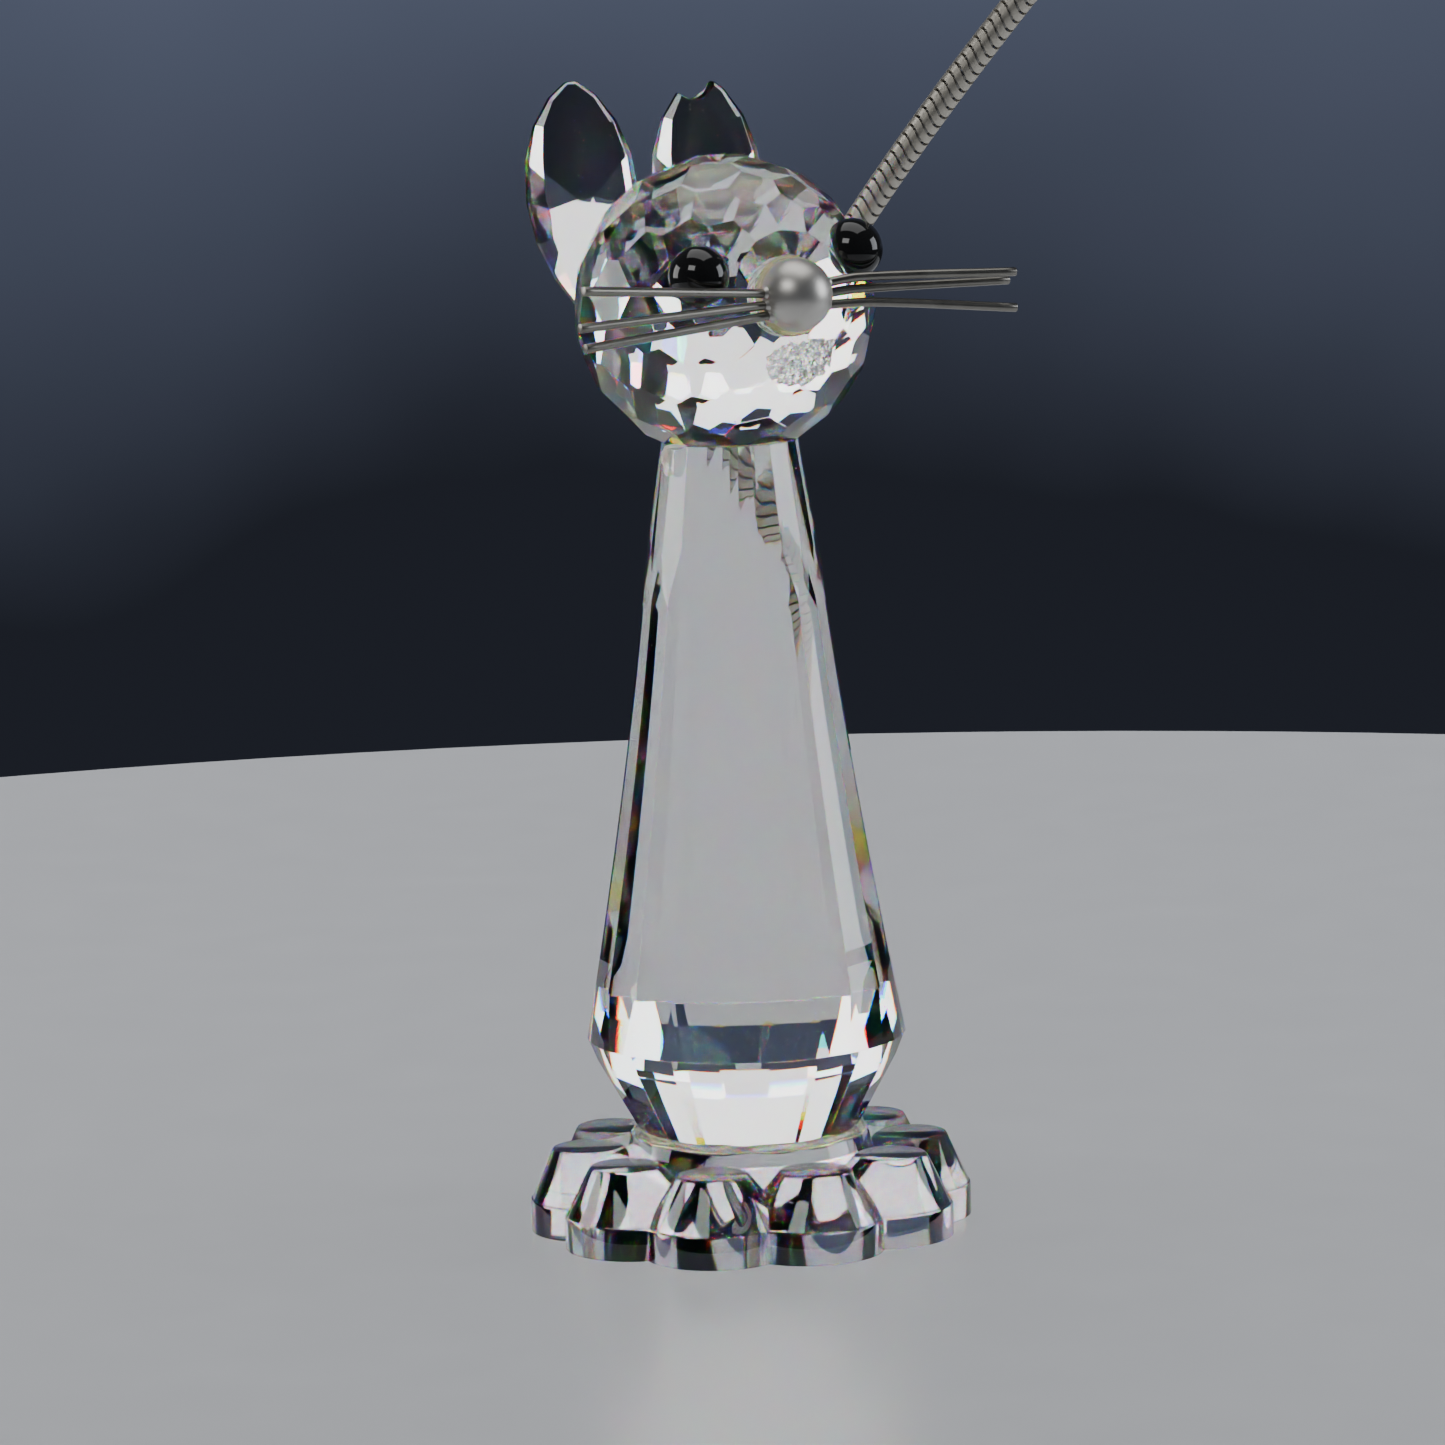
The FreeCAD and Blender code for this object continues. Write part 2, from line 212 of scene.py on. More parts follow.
@dataclass(frozen=True)
class Frosted:
    """Ground crystal, as a drill leaves it."""

    name: str = "ground_crystal"

    def make(self) -> bpy.types.Material:
        """Rough glass among white crushed grains.

        Returns:
            The material.
        """
        book = NodeBook(self.name)
        grain = book.add("ShaderNodeTexVoronoi", None, Vector=book.place(), Scale=1.0 / (0.42 * MM))
        patches = book.noise(0.55 * MM, 5.0, 0.75)
        normal = book.bump(grain, 1.0, 0.16 * MM)
        clear = book.add("ShaderNodeBsdfGlass", None, Color=(0.98, 0.98, 0.96, 1.0),
                         Roughness=0.14, IOR=1.55, Normal=normal)
        white = book.add("ShaderNodeBsdfPrincipled", None, Base_Color=(0.86, 0.86, 0.83, 1.0),
                         Roughness=0.35, Normal=normal)
        share = book.add("ShaderNodeValToRGB", {"ramp": [(0.42, (0.08, 0.08, 0.08, 1.0)),
                                                         (0.56, (0.92, 0.92, 0.92, 1.0))]}, patches)
        return book.finish(book.add("ShaderNodeMixShader", None, share, clear, white))


@dataclass(frozen=True)
class Adhesive:
    """Clear glue gone slightly yellow, with small bubbles."""

    name: str = "clear_glue"
    tint: tuple[float, float, float, float] = (0.95, 0.92, 0.70, 1.0)
    haze: tuple[float, float, float, float] = (0.93, 0.90, 0.74, 1.0)
    cloudiness: float = 0.06

    def make(self) -> bpy.types.Material:
        """Tinted glass with a lumpy surface and specks of trapped air.

        Returns:
            The material.
        """
        book = NodeBook(self.name)
        lumps = book.noise(0.9 * MM, 3.0, 0.6)
        normal = book.bump(lumps, 0.6, 0.15 * MM)
        glass = book.add("ShaderNodeBsdfGlass", None, Color=self.tint, Roughness=0.04, IOR=1.5,
                         Normal=normal)
        haze = book.add("ShaderNodeBsdfPrincipled", None, Base_Color=self.haze,
                        Roughness=0.3, Normal=normal)
        cells = book.add("ShaderNodeTexVoronoi", None, Vector=book.place(), Scale=1.0 / (0.6 * MM))
        specks = book.add("ShaderNodeValToRGB", {"ramp": [(0.06, (0.6, 0.6, 0.6, 1.0)),
                                                          (0.16, (self.cloudiness,) * 3 + (1.0,))]}, cells)
        return book.finish(book.add("ShaderNodeMixShader", None, specks, glass, haze))


@dataclass(frozen=True)
class Jet:
    """Opaque black glass beads with a high polish."""

    name: str = "jet_glass"

    def make(self) -> bpy.types.Material:
        """A black base under a clear coat, with faint finger smears in its gloss.

        Returns:
            A polished black base, with faint finger smears in its gloss.
        """
        book = NodeBook(self.name)
        smears = book.noise(1.6 * MM, 4.0, 0.6)
        colour = book.between(smears, (0.002, 0.002, 0.003, 1.0), (0.007, 0.007, 0.009, 1.0))
        return book.finish(book.add("ShaderNodeBsdfPrincipled", None, Base_Color=colour,
                                    Roughness=smears * 0.10 + 0.01, IOR=1.45,
                                    Normal=book.bump(smears, 0.04, 0.05 * MM)))


@dataclass(frozen=True)
class Metal:
    """Satin metal with a fine grain, light wear and a little tarnish."""

    name: str
    low: tuple[float, float, float, float]
    high: tuple[float, float, float, float]
    grain: float = 0.05 * MM
    roughness: float = 0.30
    grain_depth: float = 0.25

    def make(self) -> bpy.types.Material:
        """Metal whose colour and polish vary over millimetres, with a fine blasted grain.

        Returns:
            The material.
        """
        book = NodeBook(self.name)
        patches = book.noise(2.2 * MM, 5.0, 0.65)
        fine = book.noise(self.grain, 2.0)
        colour = book.between(patches, self.low, self.high)
        rough = patches * 0.16 + fine * 0.10 + (self.roughness - 0.13)
        normal = book.bump(fine, self.grain_depth, 0.02 * MM)
        return book.finish(book.add("ShaderNodeBsdfPrincipled", None, Base_Color=colour, Metallic=1.0,
                                    Roughness=rough, Normal=normal))


@dataclass(frozen=True)
class PaleTable:
    """The pale satin table that the figurine stands on."""

    name: str = "pale_table"

    def make(self) -> bpy.types.Material:
        """A pale, faintly mottled surface with a soft sheen.

        Returns:
            The material.
        """
        book = NodeBook(self.name)
        mottle = book.noise(9.0 * MM, 6.0, 0.6)
        colour = book.between(mottle, (0.52, 0.53, 0.55, 1.0), (0.56, 0.57, 0.59, 1.0))
        return book.finish(book.add("ShaderNodeBsdfPrincipled", None, Base_Color=colour,
                                    Roughness=mottle * 0.1 + 0.30, IOR=1.30))


@dataclass(frozen=True)
class Backdrop:
    """A plain grey-blue studio sheet far behind the table, lit by its own painted glow."""

    name: str = "backdrop_sheet"

    def make(self) -> bpy.types.Material:
        """A dull sheet whose emitted colour is painted light, darkest at its foot, brightest a little way
        up and dimmer above, with a faint cloudiness.

        Returns:
            The material.
        """
        book = NodeBook(self.name)
        clouds = book.noise(420.0 * MM, 3.0)
        height = book.add("ShaderNodeSeparateXYZ", None, book.place(), out=2)
        # Painted light: the sheet glows by its height, in place of lamp light falling on it.
        share = height * 1.6 + clouds * 0.35 + 0.15
        stops = [(0.0, (0.012, 0.014, 0.020, 1.0)), (0.45, (0.085, 0.100, 0.150, 1.0)),
                 (1.0, (0.050, 0.058, 0.088, 1.0))]
        painted_backdrop_glow = book.add("ShaderNodeValToRGB", {"ramp": stops}, share)
        return book.finish(book.add("ShaderNodeBsdfPrincipled", None, Base_Color=(0.02, 0.02, 0.03, 1.0),
                                    Roughness=0.95, Emission_Color=painted_backdrop_glow, Emission_Strength=1.0))


class Finish(Enum):
    """The finishes that the pieces are dressed in."""

    CRYSTAL = Crystal()
    GROUND = Frosted()
    GLUE = Adhesive()
    CRUMB = Adhesive("set_glue", (0.97, 0.96, 0.90, 1.0), (0.88, 0.88, 0.84, 1.0), 0.45)
    JET = Jet()
    SATIN = Metal("satin_metal", (0.25, 0.25, 0.235, 1.0), (0.38, 0.375, 0.35, 1.0))
    WIRE = Metal("whisker_wire", (0.19, 0.18, 0.16, 1.0), (0.33, 0.32, 0.29, 1.0), roughness=0.32)
    CHAIN = Metal("chain_metal", (0.070, 0.058, 0.038, 1.0), (0.17, 0.145, 0.105, 1.0), roughness=0.25)
    CORE = Metal("core_wire", (0.06, 0.055, 0.05, 1.0), (0.13, 0.12, 0.10, 1.0), roughness=0.55)
    TABLE = PaleTable()
    SHEET = Backdrop()

    def material(self) -> bpy.types.Material:
        """The finish's material, made once."""
        found = bpy.data.materials.get(self.value.name)
        return found if found else self.value.make()


# ---- modelling steps ---------------------------------------------------------------------
class Bench:
    """Modelling operators, each used on one piece at a time."""

    @staticmethod
    def clear() -> None:
        """Leave edit mode and deselect everything."""
        if bpy.context.object and bpy.context.object.mode == "EDIT":
            bpy.ops.object.mode_set(mode="OBJECT")
        bpy.ops.object.select_all(action="DESELECT")

    @staticmethod
    def take(piece: bpy.types.Object) -> None:
        """Make a piece the only selected and the active one.

        Args:
            piece: The piece.
        """
        Bench.clear()
        piece.select_set(True)
        bpy.context.view_layer.objects.active = piece

    @staticmethod
    def named(name: str) -> bpy.types.Object:
        """Name the primitive that was just added, and settle its turn and scale in its mesh.

        Args:
            name: The piece's name.

        Returns:
            The piece.
        """
        piece = bpy.context.object
        piece.name = name
        piece.data.name = name
        Bench.settle(piece)
        return piece

    @staticmethod
    def settle(piece: bpy.types.Object) -> None:
        """Put a piece's place, turn and scale into its mesh."""
        Bench.take(piece)
        bpy.ops.object.transform_apply(location=True, rotation=True, scale=True)

    @staticmethod
    def prism(name: str, sides: int, radius: float, low: float, high: float,
              turn: float = 0.0, centre: tuple[float, float] = (0.0, 0.0)) -> bpy.types.Object:
        """An upright prism between two heights.

        Args:
            name: The piece's name.
            sides: How many sides it has.
            radius: Radius of its corners.
            low: Height of its bottom.
            high: Height of its top.
            turn: Turn about its axis, in radians.
            centre: Where its axis stands.

        Returns:
            The prism.
        """
        Bench.clear()
        bpy.ops.mesh.primitive_cylinder_add(vertices=sides, radius=radius, depth=high - low,
                                            location=(*centre, (low + high) / 2), rotation=(0, 0, turn))
        return Bench.named(name)

    @staticmethod
    def ball(name: str, radius: float, centre: Sequence[float], segments: int = 64) -> bpy.types.Object:
        """A round ball.

        Args:
            name: The piece's name.
            radius: Its radius.
            centre: Its centre.
            segments: How many segments it has round.

        Returns:
            The ball.
        """
        Bench.clear()
        bpy.ops.mesh.primitive_uv_sphere_add(segments=segments, ring_count=segments // 2, radius=radius,
                                             location=centre)
        return Bench.named(name)

    @staticmethod
    def block(name: str, size: Sequence[float], centre: Sequence[float] = (0, 0, 0)) -> bpy.types.Object:
        """A block of a given size.

        Args:
            name: The piece's name.
            size: Its three sides.
            centre: Its centre.

        Returns:
            The block.
        """
        Bench.clear()
        bpy.ops.mesh.primitive_cube_add(size=1.0, location=centre, scale=size)
        return Bench.named(name)

    @staticmethod
    def faces(piece: bpy.types.Object, test: Callable[[Vector, Vector], bool]) -> None:
        """Go into edit mode with only the faces selected whose centre and normal pass a test.

        Args:
            piece: The piece.
            test: Takes a face's centre and normal.
        """
        Bench.take(piece)
        bpy.ops.object.mode_set(mode="EDIT")
        bpy.ops.mesh.select_mode(type="FACE")
        bpy.ops.mesh.select_all(action="DESELECT")
        bpy.ops.object.mode_set(mode="OBJECT")
        for polygon in piece.data.polygons:
            polygon.select = test(polygon.center, polygon.normal)
        bpy.ops.object.mode_set(mode="EDIT")

    @staticmethod
    def step(shift: Sequence[float], scale: float, centre: Sequence[float]) -> None:
        """Extrude the selected faces by a shift, then scale them flat about a centre."""
        bpy.ops.mesh.extrude_region_move(TRANSFORM_OT_translate={"value": tuple(shift)})
        bpy.ops.transform.resize(value=(scale, scale, 1.0), center_override=tuple(centre))

    @staticmethod
    def grind(piece: bpy.types.Object, planes: Iterable[tuple[Vector, Vector]]) -> None:
        """Cut a solid back to each plane, given as a point and an outward normal, and close it.

        Args:
            piece: The solid.
            planes: The planes.
        """
        Bench.take(piece)
        bpy.ops.object.mode_set(mode="EDIT")
        for point, normal in planes:
            bpy.ops.mesh.select_all(action="SELECT")
            bpy.ops.mesh.bisect(plane_co=point, plane_no=normal, use_fill=True, clear_outer=True,
                                threshold=1e-7)
        bpy.ops.mesh.select_all(action="SELECT")
        bpy.ops.mesh.normals_make_consistent(inside=False)
        bpy.ops.object.mode_set(mode="OBJECT")

    @staticmethod
    def stretch(piece: bpy.types.Object, scale: Sequence[float], centre: Sequence[float]) -> None:
        """Scale a whole piece about a point.

        Args:
            piece: The piece.
            scale: The three scales.
            centre: The point that stays.
        """
        Bench.take(piece)
        bpy.ops.object.mode_set(mode="EDIT")
        bpy.ops.mesh.select_all(action="SELECT")
        bpy.ops.transform.resize(value=tuple(scale), center_override=tuple(centre))
        bpy.ops.object.mode_set(mode="OBJECT")

    @staticmethod
    def combine(piece: bpy.types.Object, other: bpy.types.Object, how: str) -> None:
        """Join or cut a piece with another solid, which is used up.

        Args:
            piece: The piece that is kept.
            other: The solid that is used up.
            how: UNION or DIFFERENCE.
        """
        Bench.take(piece)
        modifier = piece.modifiers.new("combine", "BOOLEAN")
        modifier.operation = how
        modifier.solver = "EXACT"
        modifier.object = other
        bpy.ops.object.modifier_apply(modifier=modifier.name)
        bpy.data.objects.remove(other)

    @staticmethod
    def ease(piece: bpy.types.Object, width: float, segments: int = 1, above: float = 5.0) -> None:
        """Bevel every edge sharper than an angle in degrees.

        Args:
            piece: The piece.
            width: How wide the bevel is.
            segments: How many facets it has.
            above: The angle.
        """
        Bench.take(piece)
        modifier = piece.modifiers.new("ease", "BEVEL")
        modifier.width = width
        modifier.segments = segments
        modifier.limit_method = "ANGLE"
        modifier.angle_limit = math.radians(above)
        modifier.miter_outer = "MITER_ARC" if segments > 1 else "MITER_SHARP"
        bpy.ops.object.modifier_apply(modifier=modifier.name)

    @staticmethod
    def smooth(piece: bpy.types.Object, below: float) -> None:
        """Shade smooth across edges flatter than an angle in degrees."""
        Bench.take(piece)
        bpy.ops.object.shade_smooth_by_angle(angle=math.radians(below))

    @staticmethod
    def move(piece: bpy.types.Object, place: Matrix) -> None:
        """Turn and move a piece, and settle it."""
        piece.matrix_world = place
        Bench.settle(piece)

    @staticmethod
    def copy(piece: bpy.types.Object, name: str) -> bpy.types.Object:
        """A copy with its own mesh.

        Args:
            piece: The piece.
            name: The copy's name.

        Returns:
            The copy.
        """
        twin = piece.copy()
        twin.data = piece.data.copy()
        twin.name = name
        twin.data.name = name
        bpy.context.scene.collection.objects.link(twin)
        return twin

    @staticmethod
    def join(pieces: Sequence[bpy.types.Object]) -> bpy.types.Object:
        """Join pieces into the first of them.

        Args:
            pieces: The pieces.

        Returns:
            The joined piece.
        """
        Bench.take(pieces[0])
        for piece in pieces:
            piece.select_set(True)
        bpy.ops.object.join()
        return pieces[0]

    @staticmethod
    def tube(name: str, points: Sequence[Vector], radius: float, smoothness: float) -> bpy.types.Object:
        """A round bar along a rounded path, with closed ends.

        Args:
            name: The piece's name.
            points: The points that its axis passes through.
            radius: Its radius.
            smoothness: How long the handles are, as a share of each run.

        Returns:
            The bar.
        """
        Bench.clear()
        bpy.ops.curve.primitive_bezier_curve_add()
        bar = bpy.context.object
        spline = bar.data.splines[0]
        spline.bezier_points.add(len(points) - 2)
        for index, (knot, point) in enumerate(zip(spline.bezier_points, points)):
            before = points[max(index - 1, 0)]
            after = points[min(index + 1, len(points) - 1)]
            heading = (after - before).normalized()
            knot.handle_left_type = knot.handle_right_type = "FREE"
            knot.co = point
            knot.handle_left = point - heading * (point - before).length * smoothness
            knot.handle_right = point + heading * (after - point).length * smoothness
        bar.data.dimensions = "3D"
        bar.data.bevel_depth = radius
        bar.data.bevel_resolution = 6
        bar.data.use_fill_caps = True
        bpy.ops.object.convert(target="MESH")
        Bench.close(bpy.context.object)
        return Bench.named(name)

    @staticmethod
    def close(piece: bpy.types.Object) -> None:
        """Merge doubled points and turn every face outwards.

        Args:
            piece: The piece.
        """
        Bench.take(piece)
        bpy.ops.object.mode_set(mode="EDIT")
        bpy.ops.mesh.select_all(action="SELECT")
        bpy.ops.mesh.remove_doubles(threshold=MERGE)
        bpy.ops.mesh.dissolve_degenerate(threshold=MERGE)
        bpy.ops.mesh.normals_make_consistent(inside=False)
        bpy.ops.object.mode_set(mode="OBJECT")


def hand_over(piece: bpy.types.Object, finish: Finish, slot: str, body: str, *nodes: str) -> None:
    """Dress a piece, let it ride on a body and hide the CAD nodes that it stands for.

    Args:
        piece: The finished piece.
        finish: What it is dressed in.
        slot: Not used.
        body: The body that it moves with.
        nodes: The CAD nodes that it replaces.
    """
    if not piece.data.materials:
        piece.data.materials.append(finish.material())
    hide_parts(*nodes)
    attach(piece, body)
    piece.visible_shadow = finish not in (Finish.CRYSTAL, Finish.GLUE)
    log.info("%s: %d faces", piece.name, len(piece.data.polygons))


def around(radius: float, degrees: float, height: float) -> Vector:
    """A point at an azimuth counted from the front, positive towards +X."""
    angle = math.radians(degrees)
    return Vector((radius * math.sin(angle), -radius * math.cos(angle), height))


# ---- base --------------------------------------------------------------------------------
@dataclass
class Rosette:
    """The pressed crystal base: petals with an upright rim and a sloped, flat-topped crown."""

    petals: int = 10
    first: float = -12.0
    rim_centre: float = 15.0 * MM
    rim_radius: float = 7.25 * MM
    rim_height: float = 3.3 * MM
    ledge: float = 0.2 * MM
    softness: float = 0.25 * MM
    petal_sides: int = 72
    petal_turns: tuple[float, float] = (0.0, 0.031)    # neighbours' corners never meet, so they join well
    stagger: float = 0.006 * MM                        # every second petal is this much lower, likewise
    spare: float = 1.0 * MM                            # cut off below the flat underside
    crown_centre: float = 16.4 * MM
    crown_radius: float = 3.5 * MM
    crown_height: float = 8.35 * MM
    boss_sides: int = 97
    boss_turn: float = 0.013
    boss_foot: float = 15.0 * MM
    boss_radius: float = 11.9 * MM
    boss_height: float = 9.35 * MM
    peg_radius: float = 1.12 * MM
    peg_depth: float = 4.52 * MM
    peg_place: tuple[float, float] = (-7.3 * MM, 16.4 * MM)

    def rings(self) -> Iterator[tuple[float, float, float]]:
        """Height, radius and distance out of each ring of a petal, with softly rounded edges.

        Returns:
            The rings from the foot to the crown.
        """
        soft = self.softness
        yield self.rim_height - soft, self.rim_radius, self.rim_centre
        yield self.rim_height - 0.3 * soft, self.rim_radius - 0.3 * soft, self.rim_centre
        yield self.rim_height, self.rim_radius - self.ledge, self.rim_centre
        rise = self.crown_height - self.rim_height
        inner = self.rim_radius - self.ledge
        for drop, shrink in ((soft, 0.0), (0.3 * soft, 0.3 * soft), (0.0, soft)):
            share = (rise - drop) / rise
            yield (self.crown_height - drop, inner + (self.crown_radius - inner) * share - shrink,
                   self.rim_centre + (self.crown_centre - self.rim_centre) * share)

    def petal(self, turn: float) -> bpy.types.Object:
        """One petal in front, drawn up ring by ring, its corners turned a little round its axis.

        Args:
            turn: How far the corners are turned, in radians.

        Returns:
            The petal.
        """
        height, radius, out = next(self.rings())
        piece = Bench.prism("petal", self.petal_sides, radius, -self.spare, height, turn, (0.0, -out))
        Bench.faces(piece, lambda place, normal: normal.z > 0.9)
        for next_height, next_radius, next_out in list(self.rings())[1:]:
            Bench.step((0, out - next_out, next_height - height), next_radius / radius,
                       (0, -next_out, next_height))
            height, radius, out = next_height, next_radius, next_out
        bpy.ops.object.mode_set(mode="OBJECT")
        return piece

    def build(self) -> None:
        """Ten petals round a boss, with the hole for the tail's peg."""
        base = Bench.prism("base", self.boss_sides, self.boss_foot, -2 * self.spare, self.boss_height,
                           self.boss_turn)
        Bench.faces(base, lambda place, normal: normal.z > 0.9)
        bpy.ops.transform.resize(value=[self.boss_radius / self.boss_foot] * 2 + [1.0],
                                 center_override=(0, 0, self.boss_height))
        bpy.ops.object.mode_set(mode="OBJECT")
        petals = [self.petal(turn) for turn in self.petal_turns]
        for count in range(self.petals):
            twin = Bench.copy(petals[count % 2], "twin")
            turn = math.radians(self.first + 360.0 / self.petals * count)
            drop = Matrix.Translation((0, 0, -self.stagger * (count % 2)))
            Bench.move(twin, drop @ Matrix.Rotation(turn, 4, "Z"))
            Bench.combine(base, twin, "UNION")
        for petal in petals:
            bpy.data.objects.remove(petal)
        Bench.close(base)
        Bench.grind(base, [(Vector((0, 0, 0)), Vector((0, 0, -1)))])
        floor = self.crown_height - self.peg_depth
        hole = Bench.prism("hole", 32, self.peg_radius, floor, self.crown_height + MM,
                           centre=self.peg_place)
        Bench.combine(base, hole, "DIFFERENCE")
        Bench.smooth(base, 28.0)
        base.name = base.data.name = "rosette"
        hand_over(base, Finish.CRYSTAL, "crystal", BODY, "base_rosette")


# ---- body --------------------------------------------------------------------------------
@dataclass
class Drop:
    """The tall cut drop: a lower tier, a staggered belt and long flared facets."""

    sides: int = 20
    foot: tuple[float, float] = (9.65 * MM, 10.9 * MM)
    shoulder: tuple[float, float] = (17.2 * MM, 15.1 * MM)
    girdle: tuple[float, float] = (19.3 * MM, 15.95 * MM)
    bulge: float = 16.15 * MM
    belt: tuple[float, float] = (25.8 * MM, 14.95 * MM)
    top: tuple[float, float] = (79.05 * MM, 7.72 * MM)
    power: float = 1.32
    rings: int = 26

    def sections(self) -> Iterator[tuple[float, float]]:
        """Heights and corner radii from just above the foot to the top.

        Returns:
            The sections in order.
        """
        yield self.shoulder
        yield self.girdle
        yield self.girdle[0] + 0.01 * MM, self.bulge
        for count in range(self.rings + 1):
            drop = 1.0 - count / self.rings
            height = self.top[0] - drop * (self.top[0] - self.belt[0])
            yield height, self.top[1] + (self.belt[1] - self.top[1]) * drop ** self.power

    def belt_planes(self) -> Iterator[tuple[Vector, Vector]]:
        """The belt's facets, half a step round from the others.

        Returns:
            A point and an outward normal for each facet.
        """
        tilt = math.atan2(self.girdle[1] - self.belt[1], self.belt[0] - self.girdle[0])
        for count in range(self.sides):
            azimuth = 360.0 / self.sides * (count + 0.5)
            outward = around(math.cos(tilt), azimuth, math.sin(tilt))
            yield around(self.girdle[1], azimuth, self.girdle[0]), outward

    def build(self) -> None:
        """Extrude the rings upward, then cut the belt."""
        low, radius = self.foot
        height, wide = self.shoulder
        piece = Bench.prism("drop", self.sides, radius, low - CONTACT, height,
                            turn=math.pi / self.sides)
        Bench.faces(piece, lambda place, normal: normal.z > 0.9)
        bpy.ops.transform.resize(value=(wide / radius, wide / radius, 1.0), center_override=(0, 0, height))
        for next_height, next_radius in list(self.sections())[1:]:
            Bench.step((0, 0, next_height - height), next_radius / wide, (0, 0, next_height))
            height, wide = next_height, next_radius
        bpy.ops.object.mode_set(mode="OBJECT")
        Bench.grind(piece, self.belt_planes())
        Bench.close(piece)
        Bench.ease(piece, 0.06 * MM, 1, 6.0)
        Bench.smooth(piece, 5.5)
        hand_over(piece, Finish.CRYSTAL, "crystal", BODY, "body_drop")


# ---- head --------------------------------------------------------------------------------
@dataclass
class HeadFrame:
    """Where the head is and how it is turned."""

    centre: Vector = field(default_factory=lambda: Vector((-0.1, 0.0, 92.4)) * MM)
    yaw: float = 30.3
    pitch: float = 7.5
    roll: float = 5.5

    def place(self) -> Matrix:
        """From the head's own axes (across, up, out through the nose) to the frame's.

        Returns:
            The matrix.
        """
        yaw, pitch, roll = (math.radians(a) for a in (self.yaw, self.pitch, self.roll))
        nose = around(math.cos(pitch), self.yaw, math.sin(pitch))
        across = Vector((math.cos(yaw), math.sin(yaw), 0.0))
        up = nose.cross(across)
        rolled = across * math.cos(roll) + up * math.sin(roll)
        turn = Matrix((rolled, nose.cross(rolled), nose)).transposed().to_4x4()
        return Matrix.Translation(self.centre) @ turn


@dataclass
class Face:
    """The eyes, nose and whiskers, in the head's own axes."""

    eye_radius: float = 3.0 * MM
    bore_depth: float = 1.2 * MM
    eyes: dict[str, tuple[float, float, float]] = field(default_factory=lambda: {
        "eye_left": (15.4 * MM, -36.8, 13.0), "eye_right": (14.9 * MM, 36.6, 13.0)})
    nose_radius: float = 3.6 * MM
    nose_distance: float = 14.2 * MM
    recess_radius: float = 3.9 * MM
    recess_floor: float = 10.2 * MM
    recess_tip: float = 9.0 * MM
    collar: tuple[float, float] = (3.35 * MM, 0.62 * MM)
    collar_height: float = 13.25 * MM
    spall_radius: float = 3.0 * MM
    spall_scale: tuple[float, float, float] = (2.0, 1.1, 0.36)
    spall_place: Vector = field(default_factory=lambda: Vector((0.3, -6.4, 13.55)) * MM)
    spall_tilt: float = 25.0
    wire_radius: float = 0.45 * MM
    whiskers: dict[str, list[tuple[float, float, float]]] = field(default_factory=lambda: {
        "whisker_left_upper": [(-2.4, 0.5, 14.3), (-25.3, 4.1, 18.9)],
        "whisker_left_middle": [(-2.4, -0.5, 14.2), (-26.0, 0.7, 18.2)],
        "whisker_left_lower": [(-2.4, -1.5, 14.1), (-25.4, -1.3, 17.4)],
        "whisker_right_upper": [(2.4, 0.6, 14.4), (6.9, 0.6, 14.9), (23.7, -1.7, 16.4)],
        "whisker_right_middle": [(2.4, -0.4, 14.2), (6.6, -0.5, 14.3), (23.7, -2.4, 14.8)],
        "whisker_right_lower": [(2.4, -1.4, 14.1), (8.5, -2.1, 14.4), (23.8, -5.2, 15.2)]})

    def eye_centre(self, name: str) -> Vector:
        """An eye bead's centre.

        Args:
            name: The eye.

        Returns:
            The centre in the head's own axes.
        """
        distance, side, rise = self.eyes[name]
        across, rise = math.radians(side), math.radians(rise)
        return distance * Vector((math.sin(across) * math.cos(rise), math.sin(rise),
                                  math.cos(across) * math.cos(rise)))

    def recess(self) -> bpy.types.Object:
        """The drill's shape: a bore with a conical point.

        Returns:
            The shape, to be cut from the ball.
        """
        bore = Bench.prism("recess", 48, self.recess_radius, self.recess_floor, 20.0 * MM)
        Bench.faces(bore, lambda place, normal: normal.z < -0.9)
        bpy.ops.mesh.extrude_region_move(
            TRANSFORM_OT_translate={"value": (0, 0, self.recess_tip - self.recess_floor)})
        bpy.ops.mesh.merge(type="CENTER")
        bpy.ops.object.mode_set(mode="OBJECT")
        return bore

    def spall(self) -> bpy.types.Object:
        """The shallow rough spall that the drill broke out below the bore.

        Returns:
            The shape, to be cut from the ball.
        """
        chip = Bench.ball("spall", self.spall_radius, (0, 0, 0), 80)
        Bench.stretch(chip, self.spall_scale, (0, 0, 0))
        Lumps(0.8 * MM, 0.8 * MM).press(chip)
        tilt = Matrix.Rotation(math.radians(self.spall_tilt), 4, "X")
        Bench.move(chip, Matrix.Translation(self.spall_place) @ tilt)
        chip.data.materials.append(Finish.CRYSTAL.material())
        chip.data.materials.append(Finish.GROUND.material())
        for polygon in chip.data.polygons:
            polygon.material_index = 1
        return chip

    def build_eye(self, name: str, place: Matrix) -> None:
        """A polished bead with a drilled flat at its back, sunk in its dimple.

        Args:
            name: The eye.
            place: The head's place.
        """
        bead = Bench.ball(name, self.eye_radius, (0, 0, 0))
        Bench.grind(bead, [(Vector((0, 0, -self.eye_radius * 0.96)), Vector((0, 0, -1)))])
        Bench.faces(bead, lambda spot, normal: normal.z < -0.999 and spot.z < -0.9 * self.eye_radius)
        bpy.ops.mesh.inset(thickness=0.35 * MM)
        bpy.ops.mesh.extrude_region_move(TRANSFORM_OT_translate={"value": (0, 0, self.bore_depth)})
        bpy.ops.object.mode_set(mode="OBJECT")
        Bench.smooth(bead, 30.0)
        centre = self.eye_centre(name)
        outward = centre.to_track_quat("Z", "Y").to_matrix().to_4x4()
        Bench.move(bead, place @ Matrix.Translation(centre) @ outward)
        hand_over(bead, Finish.JET, "jet_glass", BODY, name)

